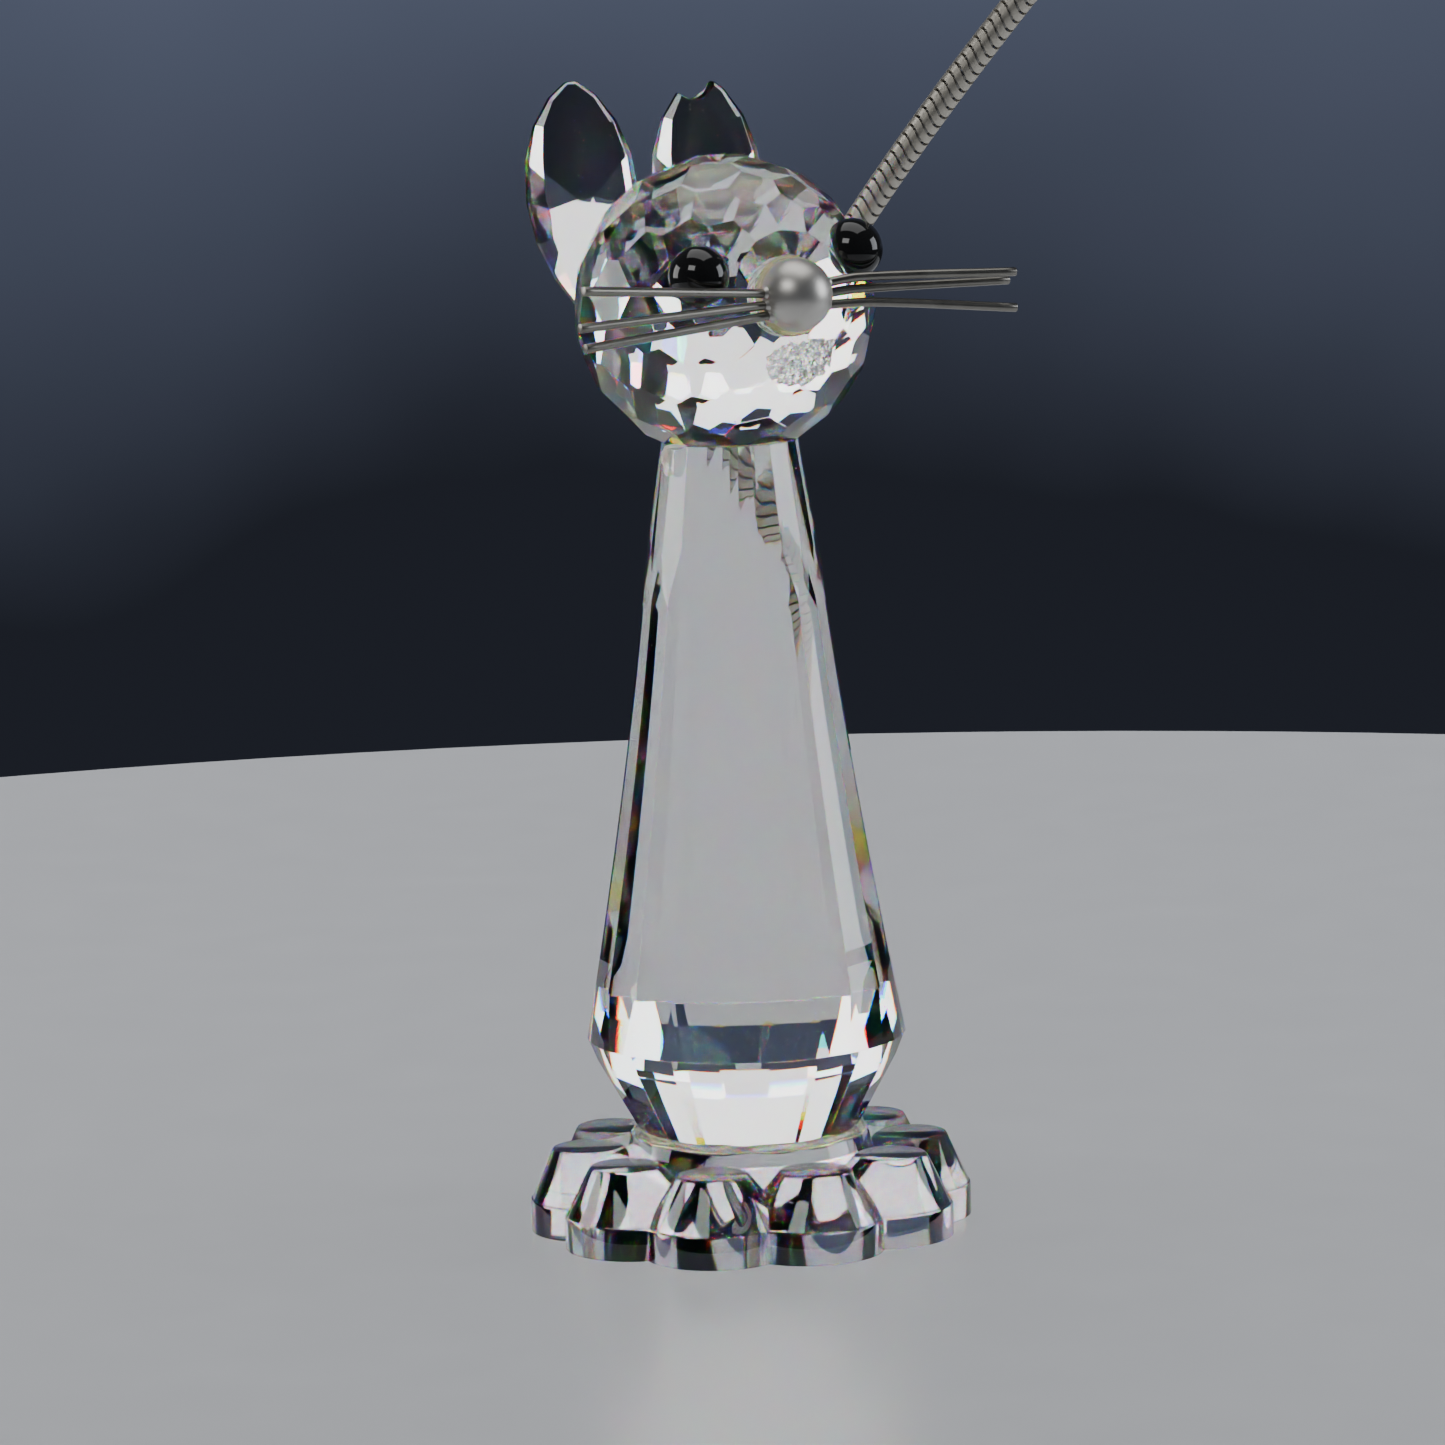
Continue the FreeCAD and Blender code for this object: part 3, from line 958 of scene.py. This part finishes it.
    def build_nose(self, place: Matrix) -> None:
        """A satin ball, with a raised solder collar where each wire goes in.

        Args:
            place: The head's place.
        """
        ball = Bench.ball("nose_ball", self.nose_radius, (0, 0, self.nose_distance), 72)
        centre = Vector((0, 0, self.nose_distance))
        for points in self.whiskers.values():
            start, following = (Vector(p) * MM for p in points[:2])
            heading = (following - start).normalized()
            offset = start - centre
            along = -offset.dot(heading) + math.sqrt(
                offset.dot(heading) ** 2 - offset.length_squared + self.nose_radius ** 2)
            Bench.clear()
            bpy.ops.mesh.primitive_cone_add(vertices=24, radius1=self.wire_radius * 1.7,
                                            radius2=self.wire_radius * 1.05, depth=0.5 * MM)
            collar = Bench.named("collar")
            turn = heading.to_track_quat("Z", "Y").to_matrix().to_4x4()
            Bench.move(collar, Matrix.Translation(start + heading * (along + 0.05 * MM)) @ turn)
            Bench.combine(ball, collar, "UNION")
        Bench.smooth(ball, 30.0)
        Bench.move(ball, place)
        hand_over(ball, Finish.SATIN, "satin_metal", BODY, "nose_ball")

    def build_whiskers(self, place: Matrix) -> None:
        """Cut wires, each along its own line.

        Args:
            place: The head's place.
        """
        for name, points in self.whiskers.items():
            spots = [Vector(p) * MM for p in points]
            if len(spots) == 2:
                spots.insert(1, (spots[0] + spots[1]) / 2)
            wire = Bench.tube(name, spots, self.wire_radius, 0.28)
            Bench.ease(wire, 0.06 * MM, 2, 50.0)
            Bench.smooth(wire, 35.0)
            Bench.move(wire, place)
            hand_over(wire, Finish.WIRE, "satin_metal", BODY, name)

    def build_glue(self, place: Matrix) -> None:
        """The glue round the nose ball, proud of the recess in a lumpy collar.

        Args:
            place: The head's place.
        """
        Bench.clear()
        bpy.ops.mesh.primitive_torus_add(major_segments=72, minor_segments=20,
                                         major_radius=self.collar[0], minor_radius=self.collar[1],
                                         location=(0, 0, self.collar_height))
        collar = Bench.named("nose_glue")
        Lumps(0.28 * MM, 1.7 * MM).press(collar)
        Bench.smooth(collar, 60.0)
        Bench.move(collar, place)
        hand_over(collar, Finish.GLUE, "adhesive", BODY, "nose_adhesive")


@dataclass(frozen=True)
class Lumps:
    """An uneven surface, as of glue that was squeezed out and set."""

    height: float
    size: float

    def press(self, piece: bpy.types.Object) -> None:
        """Displace a piece by soft noise of a given height and size.

        Args:
            piece: The piece.
        """
        Bench.take(piece)
        texture = bpy.data.textures.new(piece.name + "_lumps", "CLOUDS")
        texture.noise_scale = self.size
        modifier = piece.modifiers.new("lumps", "DISPLACE")
        modifier.texture = texture
        modifier.texture_coords = "LOCAL"
        modifier.strength = self.height
        modifier.mid_level = 0.5
        bpy.ops.object.modifier_apply(modifier=modifier.name)


@dataclass
class Ball:
    """The faceted ball of the head."""

    face: Face
    radius: float = 15.0 * MM
    facet_depth: float = 14.62 * MM
    table_depth: float = 13.4 * MM
    facets_round: int = 14
    rings: tuple[float, ...] = (34.0, 46.0, 62.0, 78.0, 94.0, 110.0, 126.0, 142.0, 154.0)
    seat_depth: float = 14.2 * MM
    neck_height: float = 79.2 * MM

    def planes(self, seats: Iterable[Vector]) -> Iterator[tuple[Vector, Vector]]:
        """The front and rear flats, the rings of facets and the ground ear seats.

        Args:
            seats: The ways out of the ball at the ears' seats.

        Returns:
            A point and an outward normal for each flat.
        """
        for way in (1, -1):
            yield Vector((0, 0, way * self.table_depth)), Vector((0, 0, way))
        for row, angle in enumerate(self.rings):
            tilt = math.radians(angle)
            for count in range(self.facets_round):
                turn = 2 * math.pi * (count + row % 2 / 2) / self.facets_round
                normal = Vector((math.sin(tilt) * math.cos(turn), math.sin(tilt) * math.sin(turn),
                                 math.cos(tilt)))
                yield normal * self.facet_depth, normal
        for outward in seats:
            yield outward * (self.seat_depth + CONTACT), outward

    def build(self, place: Matrix, seats: Iterable[Vector]) -> None:
        """Grind the facets, drill the recess and the eye dimples, and cut the neck flat.

        Args:
            place: The head's place.
            seats: The ways out of the ball at the ears' seats.
        """
        ball = Bench.block("head_ball", [2 * self.radius] * 3)
        Bench.grind(ball, self.planes(seats))
        down = Vector((0, 0, -1))
        neck = place.inverted() @ Vector((place.translation.x, place.translation.y,
                                          self.neck_height - CONTACT))
        Bench.grind(ball, [(neck, (place.inverted().to_3x3() @ down).normalized())])
        Bench.ease(ball, 0.035 * MM, 1, 5.0)
        ball.data.materials.append(Finish.CRYSTAL.material())
        ball.data.materials.append(Finish.GROUND.material())
        Bench.combine(ball, self.face.recess(), "DIFFERENCE")
        for eye in self.face.eyes:
            dimple = Bench.ball("dimple", self.face.eye_radius - CONTACT, self.face.eye_centre(eye), 48)
            Bench.combine(ball, dimple, "DIFFERENCE")
        Bench.combine(ball, self.face.spall(), "DIFFERENCE")
        limit = self.face.recess_radius + 0.01 * MM
        for polygon in ball.data.polygons:
            spot = polygon.center
            inside = spot.xy.length < limit and 0 < spot.z < self.table_depth - 0.05 * MM
            polygon.material_index = 1 if inside or polygon.material_index == 1 else 0
        Bench.move(ball, place)
        hand_over(ball, Finish.CRYSTAL, "crystal", BODY, "head_ball")


# ---- ears --------------------------------------------------------------------------------
class Side(Enum):
    """The two sides of the head, as a person facing the cat sees them."""

    LEFT = "left"
    RIGHT = "right"


@dataclass
class Ear:
    """A flat faceted pendant, glued by its ground foot to the back of the ball."""

    side: Side
    place: Vector
    lean: float
    half_length: float = 11.9 * MM
    half_width: float = 6.25 * MM
    thickness: float = 4.5 * MM
    corners: int = 18
    edge: float = 0.6 * MM
    tables: int = 7
    table_tilt: float = 9.5
    seat_depth: float = 14.2 * MM
    glue: float = 0.15 * MM
    pat_radius: float = 2.3 * MM
    chip_place: Vector = field(default_factory=lambda: Vector((-1.0, 11.9, 0.5)) * MM)
    chip_radius: float = 2.6 * MM

    def outline(self) -> list[Vector]:
        """Corners of a leaf that is widest just above its middle.

        Returns:
            The corners, from the ear's tip and clockwise.
        """
        points = []
        for count in range(self.corners):
            angle = 2 * math.pi * (count + 0.5) / self.corners
            spread = abs(math.sin(angle)) ** 1.4 * (1 + 0.1 * math.cos(angle))
            points.append(Vector((math.copysign(self.half_width * spread, math.sin(angle)),
                                  self.half_length * math.cos(angle), 0.0)))
        return points

    def planes(self) -> Iterator[tuple[Vector, Vector]]:
        """The edge, then the main and star facets of both faces.

        Returns:
            A point and an outward normal for each facet.
        """
        points = self.outline()
        for count, corner in enumerate(points):
            following = points[(count + 1) % self.corners]
            preceding = points[count - 1]
            along = (following - corner).normalized()
            outward = Vector((-along.y, along.x, 0.0))
            middle = (corner + following) / 2
            yield middle, outward
            chord = (following - preceding).normalized()
            starward = Vector((-chord.y, chord.x, 0.0))
            for way in (1, -1):
                lean = math.radians(40.0)
                yield (middle + Vector((0, 0, way * self.edge / 2)),
                       outward * math.sin(lean) + Vector((0, 0, way * math.cos(lean))))
                lean = math.radians(22.0)
                yield (corner - starward * MM + Vector((0, 0, way * 1.35 * MM)),
                       starward * math.sin(lean) + Vector((0, 0, way * math.cos(lean))))

    def table_planes(self) -> Iterator[tuple[Vector, Vector]]:
        """The large facets that meet in a low point in the middle of each face.

        Returns:
            A point and an outward normal for each facet.
        """
        tilt = math.radians(self.table_tilt)
        for count in range(self.tables):
            turn = 2 * math.pi * (count + 0.5) / self.tables
            outward = Vector((math.sin(turn), math.cos(turn), 0.0))
            for way in (1, -1):
                yield (Vector((0, 0, way * self.thickness / 2)),
                       outward * math.sin(tilt) + Vector((0, 0, way * math.cos(tilt))))

    def seat(self) -> Vector:
        """The way out of the ball at the ear's ground seat, in the head's own axes."""
        return Vector((self.place.x / MM * 0.85, 4.5, -12.0)).normalized()

    def build(self, head: Matrix) -> None:
        """Grind the pendant, chip the right one, stand it on its seat and glue it.

        Args:
            head: The head's place.
        """
        name = "ear_" + self.side.value
        size = (2.4 * self.half_width, 2.2 * self.half_length, self.thickness)
        ear = Bench.block(name, size)
        Bench.grind(ear, self.planes())
        Bench.grind(ear, self.table_planes())
        local = Matrix.Translation(self.place) @ Matrix.Rotation(math.radians(self.lean), 4, "Z")
        Bench.move(ear, local)
        outward = self.seat()
        Bench.grind(ear, [(outward * (self.seat_depth + self.glue - CONTACT), -outward)])
        Bench.ease(ear, 0.035 * MM, 1, 5.0)
        if self.side is Side.RIGHT:
            chip = Bench.ball("chip", self.chip_radius, (0, 0, 0), 32)
            Lumps(0.35 * MM, 1.3 * MM).press(chip)
            Bench.move(chip, local @ Matrix.Translation(self.chip_place))
            Bench.combine(ear, chip, "DIFFERENCE")
        Bench.move(ear, head)
        hand_over(ear, Finish.CRYSTAL, "crystal", BODY, name)
        self.build_glue(head, outward)

    def build_glue(self, head: Matrix, outward: Vector) -> None:
        """A thin lumpy pat of glue between the ear's foot and its seat.

        Args:
            head: The head's place.
            outward: The way out of the ball at the seat.
        """
        pat = Bench.prism("ear_glue_" + self.side.value, 32, self.pat_radius, -self.glue / 2 - CONTACT,
                          self.glue / 2 + CONTACT)
        Bench.ease(pat, 0.05 * MM, 2, 40.0)
        Bench.smooth(pat, 40.0)
        turn = outward.to_track_quat("Z", "Y").to_matrix().to_4x4()
        Bench.move(pat, head @ Matrix.Translation(outward * (self.seat_depth + self.glue / 2)) @ turn)
        hand_over(pat, Finish.GLUE, "adhesive", BODY, "ear_adhesive_" + self.side.value)


# ---- glue under the body and the head ----------------------------------------------------
@dataclass
class Joints:
    """The glue under the body's foot and under the head."""

    foot_radius: float = 11.15 * MM
    foot_height: float = 9.35 * MM
    film: float = 0.3 * MM
    neck_radius: float = 6.2 * MM
    neck_centre: float = -0.1 * MM
    crumb_azimuth: float = -50.0
    crumb_radius: float = 0.8 * MM
    crumb_height: float = 77.7 * MM
    bridge_radius: float = 0.45 * MM
    bridge_height: float = 78.95 * MM
    neck_height: float = 79.05 * MM
    neck_film: float = 0.15 * MM

    def build(self) -> None:
        """A film with a squeezed-out, uneven bead round it, and a thin disc at the neck."""
        film = Bench.prism("base_glue", 96, self.foot_radius - 0.1 * MM, self.foot_height - CONTACT,
                           self.foot_height + self.film)
        Bench.clear()
        bpy.ops.mesh.primitive_torus_add(major_segments=140, minor_segments=16,
                                         major_radius=self.foot_radius, minor_radius=0.5 * MM,
                                         location=(0, 0, self.foot_height + 0.22 * MM))
        bead = Bench.named("bead")
        Lumps(0.55 * MM, 2.4 * MM).press(bead)
        Bench.combine(film, bead, "UNION")
        Bench.smooth(film, 50.0)
        hand_over(film, Finish.GLUE, "adhesive", BODY, "base_adhesive")
        disc = Bench.prism("neck_glue", 64, self.neck_radius, self.neck_height - CONTACT,
                           self.neck_height + self.neck_film, centre=(self.neck_centre, 0.0))
        Bench.ease(disc, 0.05 * MM, 2, 40.0)
        disc.data.materials.append(Finish.GLUE.material())
        disc.data.materials.append(Finish.CRUMB.material())
        spot = around(7.8 * MM, self.crumb_azimuth, self.crumb_height)
        crumb = Bench.ball("crumb", self.crumb_radius, spot, 24)
        Bench.stretch(crumb, (0.8, 0.8, 1.9), spot)
        Lumps(0.8 * MM, 0.8 * MM).press(crumb)
        crumb.data.materials.append(Finish.CRUMB.material())
        spot = around(6.9 * MM, self.crumb_azimuth, self.bridge_height)
        bridge = Bench.ball("bridge", self.bridge_radius, spot, 16)
        Bench.stretch(bridge, (2.4, 2.4, 0.6), spot)
        bridge.data.materials.append(Finish.CRUMB.material())
        disc = Bench.join([disc, crumb, bridge])
        Bench.smooth(disc, 40.0)
        hand_over(disc, Finish.GLUE, "adhesive", BODY, "neck_adhesive")


# ---- tail --------------------------------------------------------------------------------
@dataclass
class Tail:
    """The snake chain: wavy rings nested along a curve, a root ferrule and an end cap."""

    poles: tuple[tuple[float, float, float], ...] = (
        (-7.3, 16.4, 9.0), (-7.3, 17.1, 31.0), (-14.0, 18.8, 60.3), (-1.3, 18.3, 85.9), (41.8, 9.5, 135.1))
    radius: float = 1.6 * MM
    wall: float = 0.30 * MM
    pitch: float = 1.1 * MM
    gap: float = 0.28 * MM
    wave: float = 0.42 * MM
    per_group: int = 10
    groups: int = 12
    start: float = 3.6 * MM
    ferrule_radius: float = 2.1 * MM
    crown_height: float = 8.35 * MM
    peg_radius: float = 1.1 * MM
    peg_length: float = 4.5 * MM
    tip_length: float = 4.2 * MM
    lip_height: float = 0.7 * MM
    lip_narrowing: float = 0.92
    samples: int = 3000

    def __post_init__(self) -> None:
        """Walk the curve once, keeping each point and its distance from the root."""
        self.line = [self.point(count / self.samples) for count in range(self.samples + 1)]
        self.reach = [0.0]
        for before, after in zip(self.line, self.line[1:]):
            self.reach.append(self.reach[-1] + (after - before).length)

    def point(self, share: float) -> Vector:
        """A point of the Bezier curve, found by halving between neighbours until one is left.

        Args:
            share: How far along the curve, from 0 to 1.

        Returns:
            The point.
        """
        spots = [Vector(pole) * MM for pole in self.poles]
        while len(spots) > 1:
            spots = [near.lerp(far, share) for near, far in zip(spots, spots[1:])]
        return spots[0]

    def place(self, distance: float) -> Matrix:
        """A place on the tail, +Z along it, at a distance from its root.

        Args:
            distance: The distance along the tail.

        Returns:
            The matrix.
        """
        index = max(1, min(self.samples - 1, self.nearest(distance)))
        step = self.reach[index + 1] - self.reach[index]
        share = (distance - self.reach[index]) / step
        spot = self.line[index].lerp(self.line[index + 1], share)
        heading = (self.line[index + 1] - self.line[index - 1]).normalized()
        across = Vector((0, 1, 0)).cross(heading).normalized()
        turn = Matrix((across, heading.cross(across), heading)).transposed().to_4x4()
        return Matrix.Translation(spot) @ turn

    def nearest(self, distance: float) -> int:
        """The last sample that isn't past a distance, found by halving.

        Args:
            distance: The distance along the tail.

        Returns:
            The sample's index.
        """
        low, high = 0, self.samples
        while high - low > 1:
            middle = (low + high) // 2
            if self.reach[middle] <= distance:
                low = middle
            else:
                high = middle
        return low

    def link(self) -> bpy.types.Object:
        """One ring at the origin: a domed band whose edges wave twice round.

        Returns:
            The ring.
        """
        height = self.pitch - self.gap
        ring = Bench.prism("link", 28, self.radius - 0.10 * MM, -height / 2, height / 2)
        Bench.faces(ring, lambda place, normal: abs(normal.z) > 0.9)
        bpy.ops.mesh.delete(type="FACE")
        bpy.ops.mesh.select_mode(type="EDGE")
        bpy.ops.mesh.select_all(action="SELECT")
        bpy.ops.object.mode_set(mode="OBJECT")
        Bench.faces(ring, lambda place, normal: True)
        bpy.ops.mesh.subdivide_edgering(number_cuts=3, interpolation="LINEAR", smoothness=0.0)
        bpy.ops.object.mode_set(mode="OBJECT")
        for vertex in ring.data.vertices:
            share = abs(vertex.co.z) / (height / 2)
            swell = (self.radius - 0.16 * MM * share ** 3) / vertex.co.xy.length
            angle = math.atan2(vertex.co.y, vertex.co.x)
            vertex.co = Vector((vertex.co.x * swell, vertex.co.y * swell,
                                vertex.co.z + self.wave * math.sin(2 * angle)))
        Bench.take(ring)
        wall = ring.modifiers.new("wall", "SOLIDIFY")
        wall.thickness = self.wall
        wall.offset = -1.0
        bpy.ops.object.modifier_apply(modifier=wall.name)
        Bench.smooth(ring, 40.0)
        return ring

    def build_links(self) -> None:
        """The rings, group by group, each group riding on its own body."""
        link = self.link()
        for group in range(self.groups):
            rings = []
            for count in range(self.per_group):
                ring = Bench.copy(link, "ring")
                distance = self.start + (group * self.per_group + count + 0.5) * self.pitch
                Bench.move(ring, self.place(distance))
                rings.append(ring)
            chain = Bench.join(rings)
            chain.name = chain.data.name = f"chain_{group + 1:02d}"
            body = f"tail_{group + 1:02d}"
            hand_over(chain, Finish.CHAIN, "chain_metal", body, f"tail_links_{group + 1:02d}")
            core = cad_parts[f"tail_core_{group + 1:02d}"]
            core.data.materials.clear()
            core.data.materials.append(Finish.CORE.material())
        bpy.data.objects.remove(link)

    def build_ferrule(self) -> None:
        """The turned cup at the root, with a rolled lip, a groove and its peg."""
        x, y = self.poles[0][0] * MM, self.poles[0][1] * MM
        low = self.crown_height
        high = self.poles[0][2] * MM + self.start - 0.15 * MM
        cup = Bench.prism("ferrule", 48, self.ferrule_radius, low, low + 0.9 * MM, centre=(x, y))
        Bench.faces(cup, lambda place, normal: normal.z > 0.9)
        waist = 0.9 * self.ferrule_radius
        rise = high - low - 0.9 * MM
        Bench.step((0, 0, 0.12 * MM), 0.9, (x, y, 0))
        Bench.step((0, 0, rise * 0.6), 1.0, (x, y, 0))
        Bench.step((0, 0, 0.12 * MM), self.ferrule_radius / waist, (x, y, 0))
        Bench.step((0, 0, rise * 0.4 - 0.24 * MM), 1.0, (x, y, 0))
        bpy.ops.mesh.inset(thickness=0.35 * MM)
        bpy.ops.mesh.extrude_region_move(TRANSFORM_OT_translate={"value": (0, 0, -0.3 * MM)})
        Bench.faces(cup, lambda place, normal: normal.z < -0.9)
        bpy.ops.mesh.inset(thickness=self.ferrule_radius - self.peg_radius)
        bpy.ops.mesh.extrude_region_move(TRANSFORM_OT_translate={"value": (0, 0, -self.peg_length)})
        bpy.ops.object.mode_set(mode="OBJECT")
        Bench.ease(cup, 0.1 * MM, 3, 30.0)
        Bench.smooth(cup, 40.0)
        hand_over(cup, Finish.CHAIN, "chain_metal", BODY, "tail_ferrule")

    def build_tip(self) -> None:
        """The closed end cap, with a rolled lip and a domed end."""
        cap = Bench.prism("tip_cap", 48, self.radius, 0.0, self.lip_height)
        Bench.faces(cap, lambda place, normal: normal.z > 0.9)
        Bench.step((0, 0, 0.1 * MM), self.lip_narrowing, (0, 0, 0))
        Bench.step((0, 0, 0.3 * MM), 1.0, (0, 0, 0))
        Bench.step((0, 0, 0.1 * MM), 1.0 / self.lip_narrowing, (0, 0, 0))
        Bench.step((0, 0, self.tip_length - self.radius - self.lip_height - 0.5 * MM), 1.0, (0, 0, 0))
        wide = self.radius
        steps = 10
        for count in range(1, steps):
            angle = math.pi / 2 * count / steps
            lift = self.radius * (math.sin(angle) - math.sin(angle - math.pi / 2 / steps))
            narrow = self.radius * math.cos(angle)
            Bench.step((0, 0, lift), narrow / wide, (0, 0, 0))
            wide = narrow
        bpy.ops.object.mode_set(mode="OBJECT")
        Bench.smooth(cap, 40.0)
        end = self.start + self.groups * self.per_group * self.pitch
        Bench.move(cap, self.place(end - 0.15 * MM))
        hand_over(cap, Finish.CHAIN, "chain_metal", f"tail_{self.groups:02d}", "tail_tip_cap")

    def build(self) -> None:
        """Build the whole tail."""
        self.build_ferrule()
        self.build_links()
        self.build_tip()


# ---- studio ------------------------------------------------------------------------------
@dataclass(frozen=True)
class Lamp:
    """A soft rectangular lamp that faces the figurine."""

    name: str
    place: tuple[float, float, float]
    size: tuple[float, float]
    power: float
    colour: tuple[float, float, float] = (1.0, 1.0, 1.0)
    mirrored: bool = True

    def build(self, target: Vector) -> None:
        """Hang the lamp.

        Args:
            target: The point that it faces.
        """
        Bench.clear()
        bpy.ops.object.light_add(type="AREA", location=self.place)
        lamp = bpy.context.object
        lamp.name = self.name
        lamp.data.shape = "RECTANGLE"
        lamp.data.size, lamp.data.size_y = self.size
        lamp.data.energy = self.power
        lamp.data.color = self.colour
        lamp.visible_camera = False
        lamp.visible_glossy = self.mirrored
        lamp.rotation_euler = (target - Vector(self.place)).to_track_quat("-Z", "Y").to_euler()


@dataclass
class Studio:
    """The pale table, the backdrop, the lamps and the camera."""

    camera_place: Vector = field(default_factory=lambda: Vector((12.0, -630.0, 145.5)) * MM)
    yaw: float = -1.23
    pitch: float = 8.55
    roll: float = 1.66
    lens: float = 159.2
    table_radius: float = 325.0 * MM
    air: float = 0.03 * MM
    lamps: tuple[Lamp, ...] = (
        Lamp("key", (-0.45, -0.85, 0.75), (0.50, 0.36), 2.6),
        Lamp("crown", (0.05, 0.10, 1.05), (1.10, 0.80), 4.6),
        Lamp("left", (-0.72, 0.05, 0.24), (0.34, 0.40), 1.8),
        Lamp("right", (0.72, 0.05, 0.24), (0.34, 0.40), 1.8, (0.90, 0.94, 1.0)),
        Lamp("rear_left", (-0.68, 0.68, 0.10), (0.50, 0.70), 3.9, mirrored=False),
        Lamp("rear_right", (0.68, 0.68, 0.10), (0.50, 0.70), 3.9, (0.90, 0.94, 1.0), False),
        Lamp("rear", (0.0, 0.95, 0.62), (1.30, 0.46), 4.0, mirrored=False),
        Lamp("rear_low", (0.0, 1.25, 0.31), (1.50, 0.46), 3.4, mirrored=False))

    def build_stage(self) -> None:
        """A round table top with an eased rim, and a sheet behind it."""
        table = Bench.prism("table", 160, self.table_radius, -12.0 * MM, -self.air)
        Bench.ease(table, 2.0 * MM, 4, 40.0)
        Bench.smooth(table, 40.0)
        table.data.materials.append(Finish.TABLE.material())
        sheet = Bench.block("backdrop", (5.0, 0.01, 3.0), (0.0, 2.2, 0.6))
        sheet.data.materials.append(Finish.SHEET.material())

    def build_world(self) -> None:
        """A dim, cool surround."""
        world = bpy.data.worlds.new("studio")
        world.use_nodes = True
        background = world.node_tree.nodes["Background"]
        background.inputs["Color"].default_value = (0.30, 0.34, 0.42, 1.0)
        background.inputs["Strength"].default_value = 0.10
        bpy.context.scene.world = world

    def build_camera(self) -> None:
        """A long lens a little above the figurine."""
        Bench.clear()
        bpy.ops.object.camera_add(location=self.camera_place)
        camera = bpy.context.object
        camera.name = "camera"
        yaw, pitch, roll = (math.radians(a) for a in (self.yaw, self.pitch, self.roll))
        ahead = Vector((math.sin(yaw) * math.cos(pitch), math.cos(yaw) * math.cos(pitch),
                        -math.sin(pitch)))
        right = Vector((math.cos(yaw), -math.sin(yaw), 0.0))
        up = right.cross(ahead)
        tilted_right = right * math.cos(roll) - up * math.sin(roll)
        tilted_up = right * math.sin(roll) + up * math.cos(roll)
        turn = Matrix((tilted_right, tilted_up, -ahead)).transposed()
        camera.rotation_euler = turn.to_euler()
        camera.data.lens = self.lens
        camera.data.sensor_width = 36.0
        camera.data.clip_start = 0.01
        camera.data.clip_end = 20.0
        bpy.context.scene.camera = camera

    def build(self) -> None:
        """Set the studio up, with enough light bounces for cut crystal."""
        self.build_stage()
        self.build_world()
        for lamp in self.lamps:
            lamp.build(Vector((0.0, 0.0, 0.06)))
        self.build_camera()
        cycles = bpy.context.scene.cycles
        cycles.max_bounces = 32
        cycles.transmission_bounces = 32
        cycles.glossy_bounces = 12
        cycles.caustics_refractive = False


def main() -> None:
    """Build the studio, then the figurine from its base to its tail."""
    logging.basicConfig(level=logging.INFO, format="%(name)s %(message)s")
    Studio().build()
    Rosette().build()
    Drop().build()
    Joints().build()
    place = HeadFrame().place()
    face = Face()
    ears = [Ear(Side.LEFT, Vector((-6.3, 12.8, -13.6)) * MM, -4.5),
            Ear(Side.RIGHT, Vector((8.0, 11.3, -13.6)) * MM, -6.5)]
    Ball(face).build(place, [ear.seat() for ear in ears])
    for ear in ears:
        ear.build(place)
    face.build_glue(place)
    face.build_nose(place)
    for eye in face.eyes:
        face.build_eye(eye, place)
    face.build_whiskers(place)
    Tail().build()
    Bench.clear()


if __name__ == "__main__":
    main()
